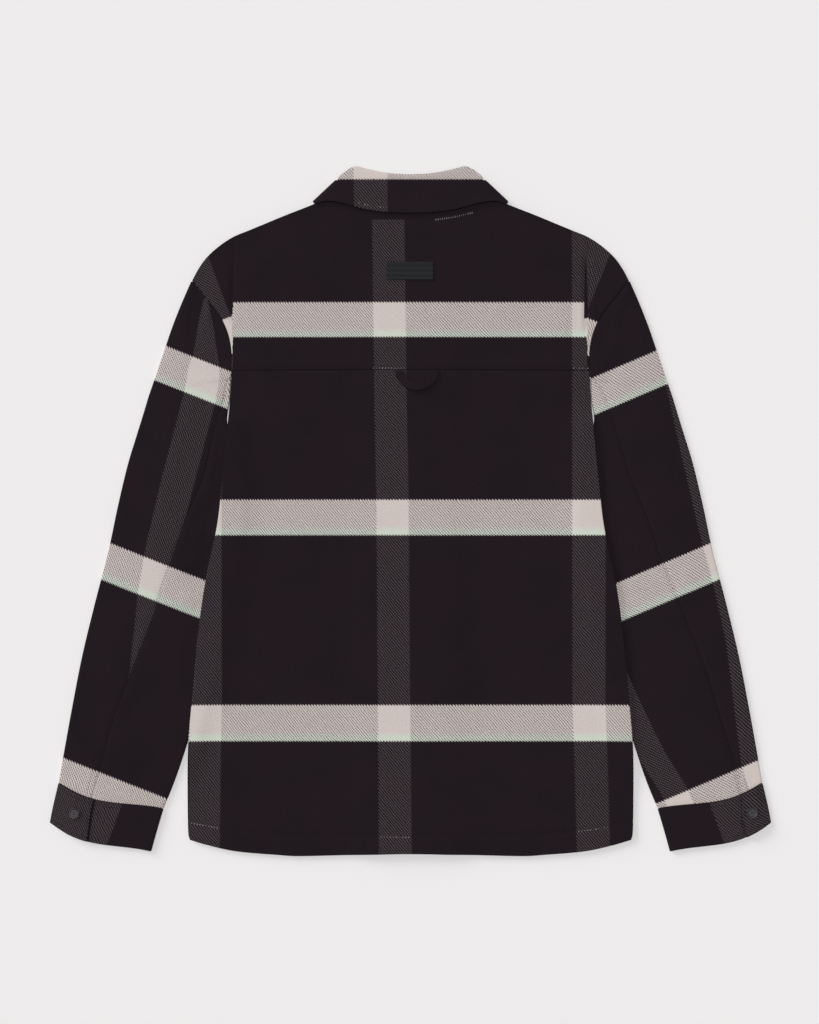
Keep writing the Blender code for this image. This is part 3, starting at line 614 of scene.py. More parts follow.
# Sleeves, flattened tubes of two panels. Stripes are given by their middles, top to bottom.
sleeveLook = {
    "fold": 1.2, "crown": 2.0, "firstTube": 7, "innerStart": 6.5, "steps": 7, "drift": 0.3,
    "topColumns": 34, "foldColumns": 8, "underColumns": 20, "innerTop": 24, "innerUnder": 8,
    "seamDip": 0.8, "seamWidth": 2.8, "dipStarts": (7, 8.5), "most": 1.3, "bowSkew": 1.5, "topFade": 0.15,
    "capEnd": 2.2, "capCrown": 0.8, "seamRoom": 2.3, "foldRoom": 2.2,
    "slant": {-1: 21.5, 1: 23.0},
    "pinch": ((185, 204, 237, 262), (0.15, 0.42, 0.74, 1)),
    "bands": {-1: (270.0, 499.9, 746.2), 1: (279.9, 503.7, 752.4)},
    "stripes": {
        (-1, True): (220, [(231.1, 108.5), (230.5, 175.2), (236.7, 212.4), (264.4, 319.8), (281.9, 394.4),
                           (289.8, 441.8), (300.0, 534.5), (319.2, 672)]),
        (-1, False): (220, [(350, 212), (380, 420), (410, 672)]),
        (1, True): (220, [(289.0, 120), (316.4, 246.9), (344.7, 369.5), (359.8, 424.9), (372.9, 485.9),
                          (381.4, 552.6), (391.3, 632.8)]),
        (1, False): (173, [(233.3, 539), (251.4, 579.2), (272.9, 622.6), (297.7, 662.2)]),
    },
    "creases": {
        -1: [(201, 62, 201, 128, 12, 1.3), (236, 92, 241, 130, 13, 1.2), (247, 118, 243, 152, 9, 1.6),
             (262, 120, 256, 176, 12, -1.1), (222, 150, 214, 204, 8, 1.1), (238, 196, 222, 262, 13, 0.8),
             (238, 98, 236, 128, 6, 1.6), (230, 106, 228, 132, 4, -1.1), (226, 108, 224.5, 113, 2.2, 2.6),
             (225, 131, 206, 158, 4.5, 1.7), (214, 138, 208, 152, 4, -0.9), (262, 232, 286, 380, 17, -1.3),
             (210, 236, 216, 330, 9, 1.3), (222, 350, 240, 440, 9, 1.3), (244, 470, 252, 560, 8, 1.1),
             (306, 400, 330, 520, 18, -1.2), (236, 396, 262, 410, 7, -1.1), (240, 442, 266, 452, 7, -1.0),
             (228, 262, 262, 318, 12, 0.6), (212, 330, 258, 372, 9, 0.9), (216, 372, 268, 396, 8, 0.8),
             (214, 420, 276, 430, 10, 0.9), (226, 448, 284, 470, 8, 0.7), (300, 330, 322, 384, 13, 0.5),
             (330, 430, 318, 500, 14, 0.5), (262, 520, 296, 560, 11, 0.7), (300, 560, 340, 604, 10, 0.6),
             (352, 560, 364, 618, 9, 0.5), (286, 620, 312, 652, 7, 0.6), (330, 628, 342, 656, 6, 0.6)],
        1: [(199, 60, 200, 140, 13, 1.6), (226, 120, 214, 166, 8, 1.3), (256, 118, 250, 178, 12, 0.8),
            (234, 168, 216, 214, 9, 1.0), (246, 214, 224, 268, 13, 0.7), (232, 290, 268, 330, 12, 0.7),
            (210, 236, 216, 330, 10, 1.3), (222, 350, 240, 440, 10, 1.3), (244, 470, 252, 560, 8, 1.1),
            (268, 236, 292, 370, 18, -1.4), (312, 396, 334, 530, 18, -1.3), (238, 374, 264, 392, 8, -1.1),
            (262, 130, 262, 176, 9, -1.0), (240, 420, 268, 430, 7, -1.0), (246, 108, 236, 150, 7, 1.3),
            (214, 356, 262, 384, 9, 0.9), (220, 392, 280, 404, 9, 0.8), (224, 436, 274, 452, 9, 0.9),
            (300, 350, 326, 396, 12, 0.5), (334, 450, 322, 520, 14, 0.5), (266, 500, 304, 548, 11, 0.7),
            (300, 576, 344, 612, 10, 0.7), (350, 540, 362, 600, 10, 0.5), (292, 624, 318, 660, 7, 0.6)],
    },
}


def sectionPoints(rows, share):  # the last column of rows is how far the section bows down
    outer, inner = rows[:, None, 0:2], rows[:, None, 2:4]
    way = outer - inner
    downward = unit(asPoints(-way[..., 1], way[..., 0]))
    bow = rows[:, -1:] * np.sin(np.pi * np.clip(share, 0, 1) ** sleeveLook["bowSkew"])
    spot = inner + share[..., None] * way + bow[..., None] * downward
    return spot[..., 0], spot[..., 1]


def widthOf(rows):
    return np.hypot(rows[:, 0] - rows[:, 2], rows[:, 1] - rows[:, 3])[:, None]


def upperHeight(index, share):
    fold = thick / 2 + 2 * sleeveLook["fold"]
    seam = fold + cloth["air"] * cloth["armholeAir"] * ramp(index, 0, sleeveLook["capEnd"])
    capCrown = sleeveLook["capCrown"] * sleeveLook["crown"]
    atCap = seam + (fold - seam) * share + capCrown * np.sin(np.pi * share)
    asTube = fold + sleeveLook["crown"] * np.sin(np.pi * share)
    part = np.clip(index - sleeveLook["firstTube"] + 1, 0, 1)
    return (1 - part) * atCap + part * asTube


def roundFold(end, radius, width, thick, steps):  # shares and heights from the upper layer to the lower
    angle = np.pi * np.linspace(0, 1, steps + 1)[None, :]
    sign = 1 if end else -1
    share = end - sign * radius * (1 - np.sin(angle)) / width
    return share, thick / 2 + radius * (1 + np.cos(angle))


def sleeveMaps(side, outer, out, down):
    slant = math.radians(sleeveLook["slant"][side])
    repeat, middles = sleeveLook["stripes"][side, outer]
    (lengthwise, crosswise), (knownDown, knownOut) = (
        (x * math.sin(slant) + y * math.cos(slant), x * math.cos(slant) - y * math.sin(slant))
        for x, y in ((out, down), np.array(middles).T))
    s = (crosswise - np.interp(lengthwise, knownDown, knownOut)) / repeat * side
    weaveShare = s * repeat / cloth["repeatAcross"]
    if outer and side < 0:  # the left stripe narrows where the head folds together
        s = np.clip(s / np.interp(lengthwise, *sleeveLook["pinch"]), -0.5, 0.5)
    t = fromBands(lengthwise, sleeveLook["bands"][side])
    return asPoints(s, t), asWeave(weaveShare, t)


def rolledOut(middle):  # how far round its row each point lies
    steps = np.linalg.norm(np.diff(middle, axis=1, prepend=middle[:, :1]), axis=2)
    return np.cumsum(steps, axis=1)


def makeSleeve(name, side, outer):
    look = sleeveLook
    rows = smoothRows(sleeveSections, look["steps"])
    rows[:, 4:7] = np.clip(rows[:, 4:7], 0, 1)
    index = (np.arange(len(rows)) / look["steps"])[:, None]
    if not outer:
        rows, index = (part[index[:, 0] > look["innerStart"]] for part in (rows, index))
    width = widthOf(rows)
    seam, under = rows[:, 4 if side < 0 else 5][:, None], rows[:, 6][:, None]
    room = width / 4 if outer else width * np.minimum(seam, under) / look["seamRoom"]
    radius = np.minimum(look["fold"], room)
    bend, gap = radius / width, seamGap / width
    if outer:
        top = between(seam - gap / 2, 1 - bend, look["topColumns"])
        bottom = between(1 - bend, under + gap, look["underColumns"])
    else:
        top = between(np.maximum(seam, look["foldRoom"] * bend), bend, look["innerTop"])
        bottom = between(bend, np.maximum(under, look["foldRoom"] * bend), look["innerUnder"])
    foldShare, foldHeight = roundFold(1 if outer else 0, radius, width, thick, look["foldColumns"])
    share = np.concatenate([top[:, :-1], foldShare, bottom[:, 1:]], axis=1)
    height = np.concatenate([upperHeight(index, top[:, :-1]), foldHeight,
                             np.full_like(bottom[:, 1:], thick / 2)], axis=1)
    out, down = sectionPoints(rows, share)
    room = np.clip(height - (thick / 2 + 2 * look["fold"]), 0, look["most"])
    onTop = np.zeros_like(height)
    onTop[:, : top.shape[1] - 1] = ramp(1 - np.abs(2 * top[:, :-1] - 1), 0, look["topFade"])
    seamAway = (top[:, :-1] - seam) * width
    dip = look["seamDip"] * np.exp(-((seamAway / look["seamWidth"]) ** 2)) * ramp(index, *look["dipStarts"])
    pressed = creaseDepth(out, down, look["creases"][side]) + onTop * drift(out * side, down, look["drift"])
    pressed[:, : top.shape[1] - 1] += dip
    height = height - np.minimum(pressed, room) * (height > thick)
    middle = place(side * out, down, height)
    unrolled = share[:, :1] + (1 if outer else -1) * rolledOut(middle) / width
    sewnShell(name, middle, *sleeveMaps(side, outer, *sectionPoints(rows, unrolled)))


# Seam allowances of the armholes, pressed flat between the layers under the seam
allowanceLook = {"wide": 11.0, "thick": 0.6, "level": 3.0, "rows": 90, "columns": 8, "ends": (0.015, 0.985),
                 "lastSpot": (203.4, 196)}


def makeAllowance(name, side):
    look = allowanceLook
    line = along(armhole + [look["lastSpot"]], np.linspace(*look["ends"], look["rows"]))
    way = unit(np.gradient(line, axis=0))
    beside = look["wide"] * (np.linspace(0, 1, look["columns"]) - 0.5)
    out = line[:, :1] + beside[None] * way[:, 1:]
    down = line[:, 1:] - beside[None] * way[:, :1]
    check = np.full((*out.shape, 2), 0.5)
    sewnShell(name, place(side * out, down, look["level"]), check, asPoints(beside, down) / 1000,
              wall=look["thick"])


makeAllowance("leftArmholeAllowance", -1)
makeAllowance("rightArmholeAllowance", 1)

# Cuffs: one stiffened strip from the button end round both folds to the end under the lap
cuffLook = {
    "rows": [(396.4, 652.95, 280.1, 681.55, 0.650, 0.785, 8.2),
             (400.0, 668.0, 285.0, 698.0, 0.640, 0.755, 8.4),
             (403.4, 683.0, 289.6, 714.0, 0.625, 0.725, 8.6),
             (406.3, 698.0, 294.0, 730.0, 0.612, 0.740, 8.8)],
    "steps": 6, "fold": 1.5, "lap": 20.0, "innerLap": 0.8, "lapEnd": 0.93, "crown": 0.35,
    "puffSlopes": (0.02, 0.2, 0.3), "slitDip": 0.65, "slitSlope": (7, 1), "slitPaintedShadow": {-1: 2.6, 1: 0.8},
    "farFromSlit": -5.0, "checkStart": 0.4,
    "lapColumns": 18, "underColumns": 22, "topColumns": 26, "foldColumns": 8,
    "stripes": {-1: ((-5, 44, 70, 190, 213, 262), (-0.084, 0.084, 0.2, 0.8, 0.916, 1.084)),
                1: ((-5, 29, 60, 180, 209, 262), (-0.084, 0.084, 0.2, 0.8, 0.916, 1.084))},
}


def makeCuff(name, side):
    look, thick = cuffLook, cloth["cuffThick"]
    rows = smoothRows(look["rows"], look["steps"])
    width = widthOf(rows)
    slit = rows[:, 4 if side < 0 else 5][:, None]
    bend, lap = look["fold"] / width, look["lap"] / width
    level = thick / 2 + 2 * look["fold"]
    outward = between(slit, 1 - bend, look["lapColumns"])
    lapInner = np.minimum(slit + lap, look["lapEnd"])
    rise = (thick + seamGap) * (1 - ramp(outward, lapInner, 1 - bend))
    under = between(1 - bend, bend, look["underColumns"])[:, 1:-1]
    inwardEnd = np.minimum(slit + look["innerLap"] * lap, look["lapEnd"])
    inward = between(bend, inwardEnd, look["topColumns"])[:, 1:]
    outerFold, innerFold = (roundFold(end, look["fold"], width, thick, look["foldColumns"]) for end in (1, 0))
    share = np.concatenate([outward[:, :-1], outerFold[0], under, innerFold[0][:, ::-1], inward], axis=1)
    down = np.linspace(0, 1, len(rows))[:, None]
    puffed = look["crown"] * np.sin(np.pi * down)
    foldHeights = [np.repeat(part[1], len(rows), axis=0) for part in (outerFold, innerFold)]
    nearSlit, clearOfSlit, clearOfFold = look["puffSlopes"]
    onTop = level + puffed * ramp(slit - inward, nearSlit, clearOfSlit) * ramp(inward, bend, clearOfFold)
    dipStart, dipEnd = (slit * width - distance for distance in look["slitSlope"])
    onTop = onTop - look["slitDip"] * ramp(inward * width, dipStart, dipEnd)
    height = np.concatenate([(level + rise)[:, :-1], foldHeights[0], np.full_like(under, thick / 2),
                             foldHeights[1][:, ::-1], onTop], axis=1)
    out, downAt = sectionPoints(rows, share)
    middle = place(side * out, downAt, height)
    strip = rolledOut(middle)
    s = np.interp(strip + (slit - slit[0]) * width, *look["stripes"][side])
    plain = np.full_like(s, look["farFromSlit"])
    # painted shadow of the lap's edge: a strip of dark ground beside the slit, wider on the left cuff
    plain[:, -inward.shape[1] :] = look["slitPaintedShadow"][side] - (slit - inward) * width
    depth = down * np.hypot(rows[-1, 0] - rows[0, 0], rows[-1, 1] - rows[0, 1])
    check = asPoints(s, look["checkStart"] + depth / cloth["repeatDown"])
    sewnShell(name, middle, check, asPoints(side * strip, depth) / 1000, plain, thick)


for side, word in ((-1, "left"), (1, "right")):
    makeSleeve(word + "SleeveOuterCloth", side, True)
    makeSleeve(word + "SleeveInnerCloth", side, False)
    makeCuff(word + "CuffCloth", side)

# Collar: the leaf rolls over the stand at the back neck and turns under it at both sides. Each row
# gives the fold, the leaf's edge and the stand's seam.
collarLook = {
    "back": [(0, -33.9, 0, 10.2, 0, 2.3), (13, -34.4, 17, 9.9, 17, 2.2), (26, -35.5, 34, 8.6, 34, 1.5),
             (40, -38, 50, 6.2, 50, 0.3), (52, -40.8, 64, 2.6, 64, -1.6), (62, -42.9, 77, -0.8, 75, -3.8),
             (72, -37.9, 88, -2.9, 84, -5.9), (79, -31.7, 97.5, -2.9, 90, -7.6),
             (80.5, -25.5, 107.1, -0.7, 94, -9.0)],
    "front": [(80.5, -25.0, 107.3, 0.3, 93.5, -8.5), (75, -12, 110, 20, 90, 14), (63, 5, 111, 48, 80, 38),
              (48, 22, 106, 76, 64, 57), (34, 40, 95, 104, 45, 72), (21, 56, 72, 130, 25, 83)],
    "outward": (0.72, -0.69), "leafBack": 8.7, "leafFront": 0.9, "standBack": 5.9, "standFront": 3.0,
    "steps": 5, "rollSteps": 7, "leafColumns": 22, "standColumns": 12, "crown": 0.55, "edgeRaise": 2.5,
    "backEnds": (6, 9), "standShift": 0.35,
    "stripeOut": -45.0, "bandDown": -47.8, "turnTo": (107.2, -0.2), "turnFrom": (80.5, -25.2),
}


def collarLines(first, backLevel, frontLevel):  # one named edge as points (out, down, height), left to right
    back = [(*row[first : first + 2], backLevel) for row in collarLook["back"]]
    fore = [(*row[first : first + 2], frontLevel) for row in collarLook["front"]]
    radius = (backLevel - frontLevel) / 2
    turn = []
    for step in (1, 2, 3):
        angle = math.pi * step / 4
        beside = [(back[-1][k] + fore[0][k]) / 2 + collarLook["outward"][k] * radius * math.sin(angle)
                  for k in (0, 1)]
        turn.append((*beside, frontLevel + radius * (1 + math.cos(angle))))
    half = np.array(back + turn + fore)
    whole = np.concatenate([half[::-1] * (-1, 1, 1), half[1:]])
    return smoothRows(whole, collarLook["steps"])


def collarMaps(grid):
    look = collarLook
    start = np.array(look["turnFrom"])
    way = unit(np.array(look["turnTo"]) - start)
    outward = np.array([way[1], -way[0]])
    rows = grid.shape[0]
    index = np.abs(np.linspace(-1, 1, rows)) * (rows - 1) / 2 / look["steps"]
    index = index[:, None] + 0 * grid[..., 0]
    side = np.where(grid[..., 0] < 0, -1, 1)
    spot = asPoints(np.abs(grid[..., 0]), grid[..., 1]) - start
    walkedAlong, away = spot @ way, spot @ outward
    last = len(look["back"]) - 1
    turn = np.pi * (look["leafBack"] - look["leafFront"]) / 2
    away = np.where(index > last, turn * np.clip((index - last) / 4, 0, 1), away)
    away = np.where(index > last + 4, turn + np.abs(spot @ outward), away)
    opened = start + walkedAlong[..., None] * way + away[..., None] * outward
    s = (side * opened[..., 0] - look["stripeOut"]) / cloth["repeatDown"]
    t = (look["bandDown"] - opened[..., 1]) / cloth["repeatDown"]
    return asPoints(s, t), asWeave(s, -t)


def asPlaced(grid):
    return place(*np.moveaxis(grid, -1, 0))


def makeCollar():
    look = collarLook
    leafFold, leafEdge = (collarLines(k, look["leafBack"], look["leafFront"]) for k in (0, 2))
    standFold, standSeam = (collarLines(k, look["standBack"], look["standFront"]) for k in (0, 4))
    depthWay, apart = unit((leafEdge - leafFold) * (1, 1, 0)), unit(leafFold - standFold)
    radius = np.linalg.norm(leafFold - standFold, axis=1, keepdims=True) / 2
    centre = (leafFold + standFold) / 2 + (radius + thick / 2) * depthWay
    roll = [centre + radius * (math.cos(angle) * apart - math.sin(angle) * depthWay)
            for angle in np.linspace(math.pi, 0, look["rollSteps"])[:-1]]
    start = leafFold + (radius + thick / 2) * depthWay
    share = np.linspace(0, 1, look["leafColumns"])
    leaf = start[:, None] + share[None, :, None] * (leafEdge - start)[:, None]
    index = np.abs(np.linspace(-1, 1, len(leaf))) * (len(leaf) - 1) / 2 / look["steps"]
    atBack = 1 - ramp(index, *look["backEnds"])
    leaf[..., 2] += look["crown"] * atBack[:, None] * np.sin(np.pi * share[None, :]) ** 0.8
    leaf[..., 2] += look["edgeRaise"] * atBack[:, None] * share[None, :] ** 3
    grid = np.concatenate([np.stack(roll, axis=1), leaf], axis=1)
    sewnShell("collarLeafCloth", asPlaced(grid), *collarMaps(grid))
    begin = standFold + (radius + seamGap + thick / 2) * unit(standSeam - standFold)
    share = np.linspace(0, 1, look["standColumns"])[None, :, None]
    stand = begin[:, None] + share * (standSeam - begin)[:, None]
    check, weave = collarMaps(stand)
    sewnShell("collarStandCloth", asPlaced(stand), check + (0, look["standShift"]), weave)


makeCollar()

# Hanging loop, a folded strip that comes out of the yoke seam and lies on the back
loopLook = {"at": (7.3, 187.3), "reach": (24.5, 22.8), "wide": 9.5, "thick": 1.6, "rise": 3.4, "round": 0.3,
            "groove": 0.5, "grooveWidth": 0.08, "across": 12, "around": 56}


def makeLoop():
    look = loopLook
    share, angle = np.meshgrid(np.linspace(0, 1, look["across"]), np.linspace(0, math.pi, look["around"]))
    inset = share * look["wide"]
    out = look["at"][0] + (look["reach"][0] - inset) * np.cos(angle)
    down = look["at"][1] + (look["reach"][1] - inset) * np.sin(angle)
    height = backTop(out, down) + seamGap + look["thick"] / 2 + look["rise"] * np.sin(angle) ** 2
    groove = look["groove"] * np.exp(-(((share - 0.5) / look["grooveWidth"]) ** 2))
    height += look["round"] * (np.sin(np.pi * share) ** 0.7 - groove)
    weave = asPoints(inset, angle * look["reach"][0]) / 1000
    check = np.full_like(weave, 0.5)
    sewnShell("hangingLoopCloth", place(out, down, height), check, weave, wall=look["thick"])


# Bare label, a tape whose lower edge is turned up, so it stands a little higher there
labelLook = {"at": (-0.6, 75), "size": (52, 20), "thick": 0.8, "turnUp": 6.5, "raise": 0.55, "columns": 60,
             "rows": 30}


def makeLabel():
    look = labelLook
    wide, long = look["size"]
    across, upward = np.meshgrid(wide * (spread(look["columns"]) - 0.5),
                                 long * (0.5 - spread(look["rows"], 0.3)))
    out, down = look["at"][0] + across, look["at"][1] + upward
    height = backTop(out, down) + seamGap + look["thick"] / 2
    turned = long / 2 - look["turnUp"]
    height += look["raise"] * ramp(upward, turned - look["thick"], turned)
    weave = asPoints(across, upward) / 1000
    sewnShell("bareLabelTape", place(out, down, height), weave, weave, wall=look["thick"], finish=tape)


makeLoop()
makeLabel()
print("cloth made")


# Sewing: each stitch is a grain-shaped bead set along its line by Geometry Nodes
def stitchTree():
    tree = bpy.data.node_groups.new("stitches along lines", "GeometryNodeTree")
    floats = [(name, "Float") for name in ("Spacing", "Along", "Across", "Thick", "Unevenness")]
    for name, kind in [("Lines", "Geometry"), *floats, ("Seed", "Int"), ("Thread", "Material")]:
        tree.interface.new_socket(name, in_out="INPUT", socket_type="NodeSocket" + kind)
    tree.interface.new_socket("Stitches", in_out="OUTPUT", socket_type="NodeSocketGeometry")
    given = addNode(tree, "NodeGroupInput").outputs
    curves = addNode(tree, "GeometryNodeMeshToCurve", given["Lines"])
    spots = addNode(tree, "GeometryNodeCurveToPoints", curves, named={"Length": given["Spacing"]},
                    mode="LENGTH")
    way = addNode(tree, "FunctionNodeAxesToRotation", spots.outputs["Tangent"], (0, 0, 1), primary_axis="X",
                  secondary_axis="Z")
    bead = addNode(tree, "GeometryNodeMeshUVSphere", 6, 4, 0.5)
    size = addNode(tree, "ShaderNodeCombineXYZ", given["Along"], given["Across"], given["Thick"])
    least = addNode(tree, "ShaderNodeMath", 1.0, given["Unevenness"], operation="SUBTRACT")
    uneven = addNode(tree, "FunctionNodeRandomValue", least, 1.0, named={"Seed": given["Seed"]},
                     data_type="FLOAT")
    scale = addNode(tree, "ShaderNodeVectorMath", size, named={"Scale": uneven}, operation="SCALE")
    beads = addNode(tree, "GeometryNodeInstanceOnPoints",
                    named={"Points": spots, "Instance": bead, "Rotation": way, "Scale": scale})
    real = addNode(tree, "GeometryNodeRealizeInstances", beads)
    smooth = addNode(tree, "GeometryNodeSetShadeSmooth", real)
    threaded = addNode(tree, "GeometryNodeSetMaterial", smooth, named={"Material": given["Thread"]})
    addNode(tree, "NodeGroupOutput", threaded)
    return tree


stitchKinds = {  # millimetres
    "lock": {"Spacing": 3.4, "Along": 2.7, "Across": 0.75, "Thick": 0.6, "Unevenness": 0.2},
    "speck": {"Spacing": 3.2, "Along": 2.4, "Across": 1.2, "Thick": 0.7, "Unevenness": 0.35},
    "tick": {"Spacing": 2.4, "Along": 0.9, "Across": 3.3, "Thick": 0.7, "Unevenness": 0.4},
    "bar": {"Spacing": 0.75, "Along": 0.7, "Across": 2.4, "Thick": 0.8, "Unevenness": 0.2},
    "strand": {"Spacing": 9.0, "Along": 2.9, "Across": 0.55, "Thick": 0.7, "Unevenness": 0.0},
}
stitching = stitchTree()


def sew(name, kind, thread, lines, seed):
    points = np.concatenate(lines) / 1000
    starts = np.cumsum([0] + [len(line) for line in lines])
    edges = [(k, k + 1) for first, last in zip(starts, starts[1:]) for k in range(first, last - 1)]
    mesh = bpy.data.meshes.new(name)
    mesh.from_pydata(points.tolist(), edges, [])
    made = addObject(name, mesh)
    modifier = made.modifiers.new("stitches", "NODES")
    modifier.node_group = stitching
    wanted = {key: value if key == "Unevenness" else value / 1000 for key, value in stitchKinds[kind].items()}
    wanted.update({"Seed": seed, "Thread": thread})
    for item in stitching.interface.items_tree:
        if item.in_out == "INPUT" and item.name in wanted:
            modifier[item.identifier] = wanted[item.name]
    shown = made.evaluated_get(bpy.context.evaluated_depsgraph_get())
    sewn = bpy.data.meshes.new_from_object(shown)
    made.modifiers.remove(modifier)
    made.data = sewn
    pieces[name] = made
    print(name, len(sewn.polygons), "faces")


raysFrom = 60.0  # millimetres above the ground, higher than any cloth


def onCloth(names, out, down, sink=0.12, step=1.2):  # a line laid on the upper face of the named pieces
    flat = asPoints(out, down)
    length = np.linalg.norm(np.diff(flat, axis=0), axis=1).sum()
    flat = along(flat, np.linspace(0, 1, max(3, int(length / step))))
    line = []
    for spot in place(flat[:, 0], flat[:, 1], raysFrom) / 1000:
        hits = [trees[name].ray_cast(Vector(spot), Vector((0, 0, -1)))[0] for name in names]
        heights = [hit.z for hit in hits if hit]
        if heights:
            line.append((spot[0] * 1000, spot[1] * 1000, max(heights) * 1000 - sink))
    return np.array(line)


def treeOf(made):
    points = [v.co for v in made.data.vertices]
    return BVHTree.FromPolygons(points, [p.vertices[:] for p in made.data.polygons])


trees = {name: treeOf(made) for name, made in pieces.items()}


def bodyLine(fromOut, toOut, downOf, names):
    out = np.linspace(fromOut, toOut, max(3, int(abs(toOut - fromOut) / bodySewing["spotsApart"])))
    return onCloth(names, out, downOf(out))


# The body's stitch lines from end to end, and the parts of them that cross a pale stripe or band
bodySewing = {
    "hem": (-246, 246), "hemSpecks": ((-247, -218), (-33, -2), (190, 222)), "yoke": (-200, 200),
    "yokeGap": 1.6, "yokeSpecks": ((-42, -7), (184, 200)), "speckGap": 1.5, "spotsApart": 6,
    "neckTicks": ((28.8, 17.4), (48, 14.6), (69.5, 9.6)),
}


def sewBody():
    look = bodySewing
    stitchDown, speckDown = (yokeSeam[-1][1] - look[gap] for gap in ("yokeGap", "speckGap"))
    topstitch = bodyLine(*look["hem"], hemStitchDown, ["backCloth"])
    yokeLine = bodyLine(*look["yoke"], lambda out: np.full_like(out, stitchDown), ["yokeCloth"])
    sew("hemStitches", "lock", darkThread, [topstitch], 1)
    sew("yokeStitches", "lock", darkThread, [yokeLine], 2)
    specks = [bodyLine(*ends, hemStitchDown, ["backCloth"]) for ends in look["hemSpecks"]]
    specks += [bodyLine(*ends, lambda out: np.full_like(out, speckDown), ["yokeCloth"])
               for ends in look["yokeSpecks"]]
    ticks = onCloth(["yokeCloth"], *np.array(look["neckTicks"]).T)
    sew("paleBodyStitches", "speck", paleThread, specks, 3)
    sew("paleNeckStitches", "tick", paleThread, [ticks], 14)


def sleeveLine(side, names, share, fromIndex, toIndex, beside):  # share is the column of a seam
    rows = smoothRows(sleeveSections, 4)
    index = np.arange(len(rows)) / 4
    rows = rows[(index >= fromIndex) & (index <= toIndex)]
    out, down = sectionPoints(rows, rows[:, share][:, None] + beside / widthOf(rows))
    return onCloth(names, side * out[:, 0], down[:, 0])


def cuffLine(side, names, shares, part):  # part is how far down the cuff, from 0 to 1
    rows = smoothRows(cuffLook["rows"], cuffLook["steps"])
    row = rows[int(round(part * (len(rows) - 1)))][None]
    out, down = sectionPoints(row, np.linspace(*shares, 12)[None])
    return onCloth(names, side * out[0], down[0])


# The seam's stitches run between two of the sleeve's sections at a distance from the seam. The cuff's run
# near both its edges, clear of the fold and the slit, and beside the slit.
sleeveSewing = {"seam": (7.5, 19, 1.8), "placket": ((17.4, 19, 7.5), (17.4, 19, -3.0)),
                "cuffEdges": (0.1, 0.9), "cuffEnds": (0.03, 0.97), "slitClear": (0.02, 0.025),
                "besideSlit": 2.6}


def sewSleeves():
    look = sleeveSewing
    for side, word, seam in ((-1, "left", 4), (1, "right", 5)):
        outer, inner, cuff = (word + end for end in ("SleeveOuterCloth", "SleeveInnerCloth", "CuffCloth"))
        runs = ((outer, look["seam"]), (outer, look["placket"][0]), (inner, look["placket"][1]))
        lines = [sleeveLine(side, [panel], seam, *run) for panel, run in runs]
        slit = cuffLook["rows"][1][seam]
        for part in look["cuffEdges"]:
            lines.append(cuffLine(side, [cuff], (look["cuffEnds"][0], slit - look["slitClear"][0]), part))
            lines.append(cuffLine(side, [cuff], (slit + look["slitClear"][1], look["cuffEnds"][1]), part))
        upright = smoothRows(cuffLook["rows"], cuffLook["steps"])[2:-2]
        share = upright[:, seam][:, None] + look["besideSlit"] / widthOf(upright)
        out, down = sectionPoints(upright, share)
        lines.append(onCloth([cuff], side * out[:, 0], down[:, 0]))
        sew(word + "SleeveStitches", "lock", darkThread, lines, 4 + side)


collarSewing = {"inset": 5.0, "pale": (-59, -26)}


def sewCollar():
    back = np.array(collarLook["back"])
    whole = np.concatenate([back[::-1] * (-1, 1, -1, 1, -1, 1), back[1:]])
    inset = collarSewing["inset"] / np.hypot(whole[:, 2] - whole[:, 0], whole[:, 3] - whole[:, 1])
    out = whole[:, 2] + inset * (whole[:, 0] - whole[:, 2])
    down = whole[:, 3] + inset * (whole[:, 1] - whole[:, 3])
    line = onCloth(["collarLeafCloth"], out[1:-1], down[1:-1])
    sew("collarStitches", "lock", darkThread, [line], 8)
    start, end = collarSewing["pale"]
    pale = line[(line[:, 0] > start) & (line[:, 0] < end)]
    sew("paleCollarStitches", "speck", paleThread, [pale], 9)


trimSewing = {"inset": 1.6, "loopEnds": 0.08}


def sewTrim():
    look, inset = labelLook, trimSewing["inset"]
    halfWide, halfLong = (length / 2 - inset for length in look["size"])
    ends = []
    for upward in (-halfLong, halfLong):
        out = look["at"][0] + np.linspace(-halfWide, halfWide, 8)
        ends.append(onCloth(["bareLabelTape"], out, np.full_like(out, look["at"][1] + upward)))
    for across in (-halfWide, halfWide):
        down = look["at"][1] + np.linspace(-halfLong, halfLong, 5)
        ends.append(onCloth(["bareLabelTape"], np.full_like(down, look["at"][0] + across), down))
    sew("labelStitches", "lock", darkThread, ends, 10)
    look, lines = loopLook, []
    angle = np.linspace(trimSewing["loopEnds"], math.pi - trimSewing["loopEnds"], 30)
    for fromEdge in (inset, look["wide"] - inset):
        out = look["at"][0] + (look["reach"][0] - fromEdge) * np.cos(angle)
        down = look["at"][1] + (look["reach"][1] - fromEdge) * np.sin(angle)
        lines.append(onCloth(["hangingLoopCloth"], out, down))
    sew("loopStitches", "lock", darkThread, lines, 11)


# Buttonholes under the cuff buttons and the thread through them
buttonLook = {"at": {-1: (379, 686.5), 1: (385, 686.0)}, "hole": 1.5, "slot": 8.5, "recess": 0.7,
              "threadRise": 0.1, "threadStep": (0.3, 0, 0), "slotHalf": 1.1, "sink": 0.15, "step": 0.8}


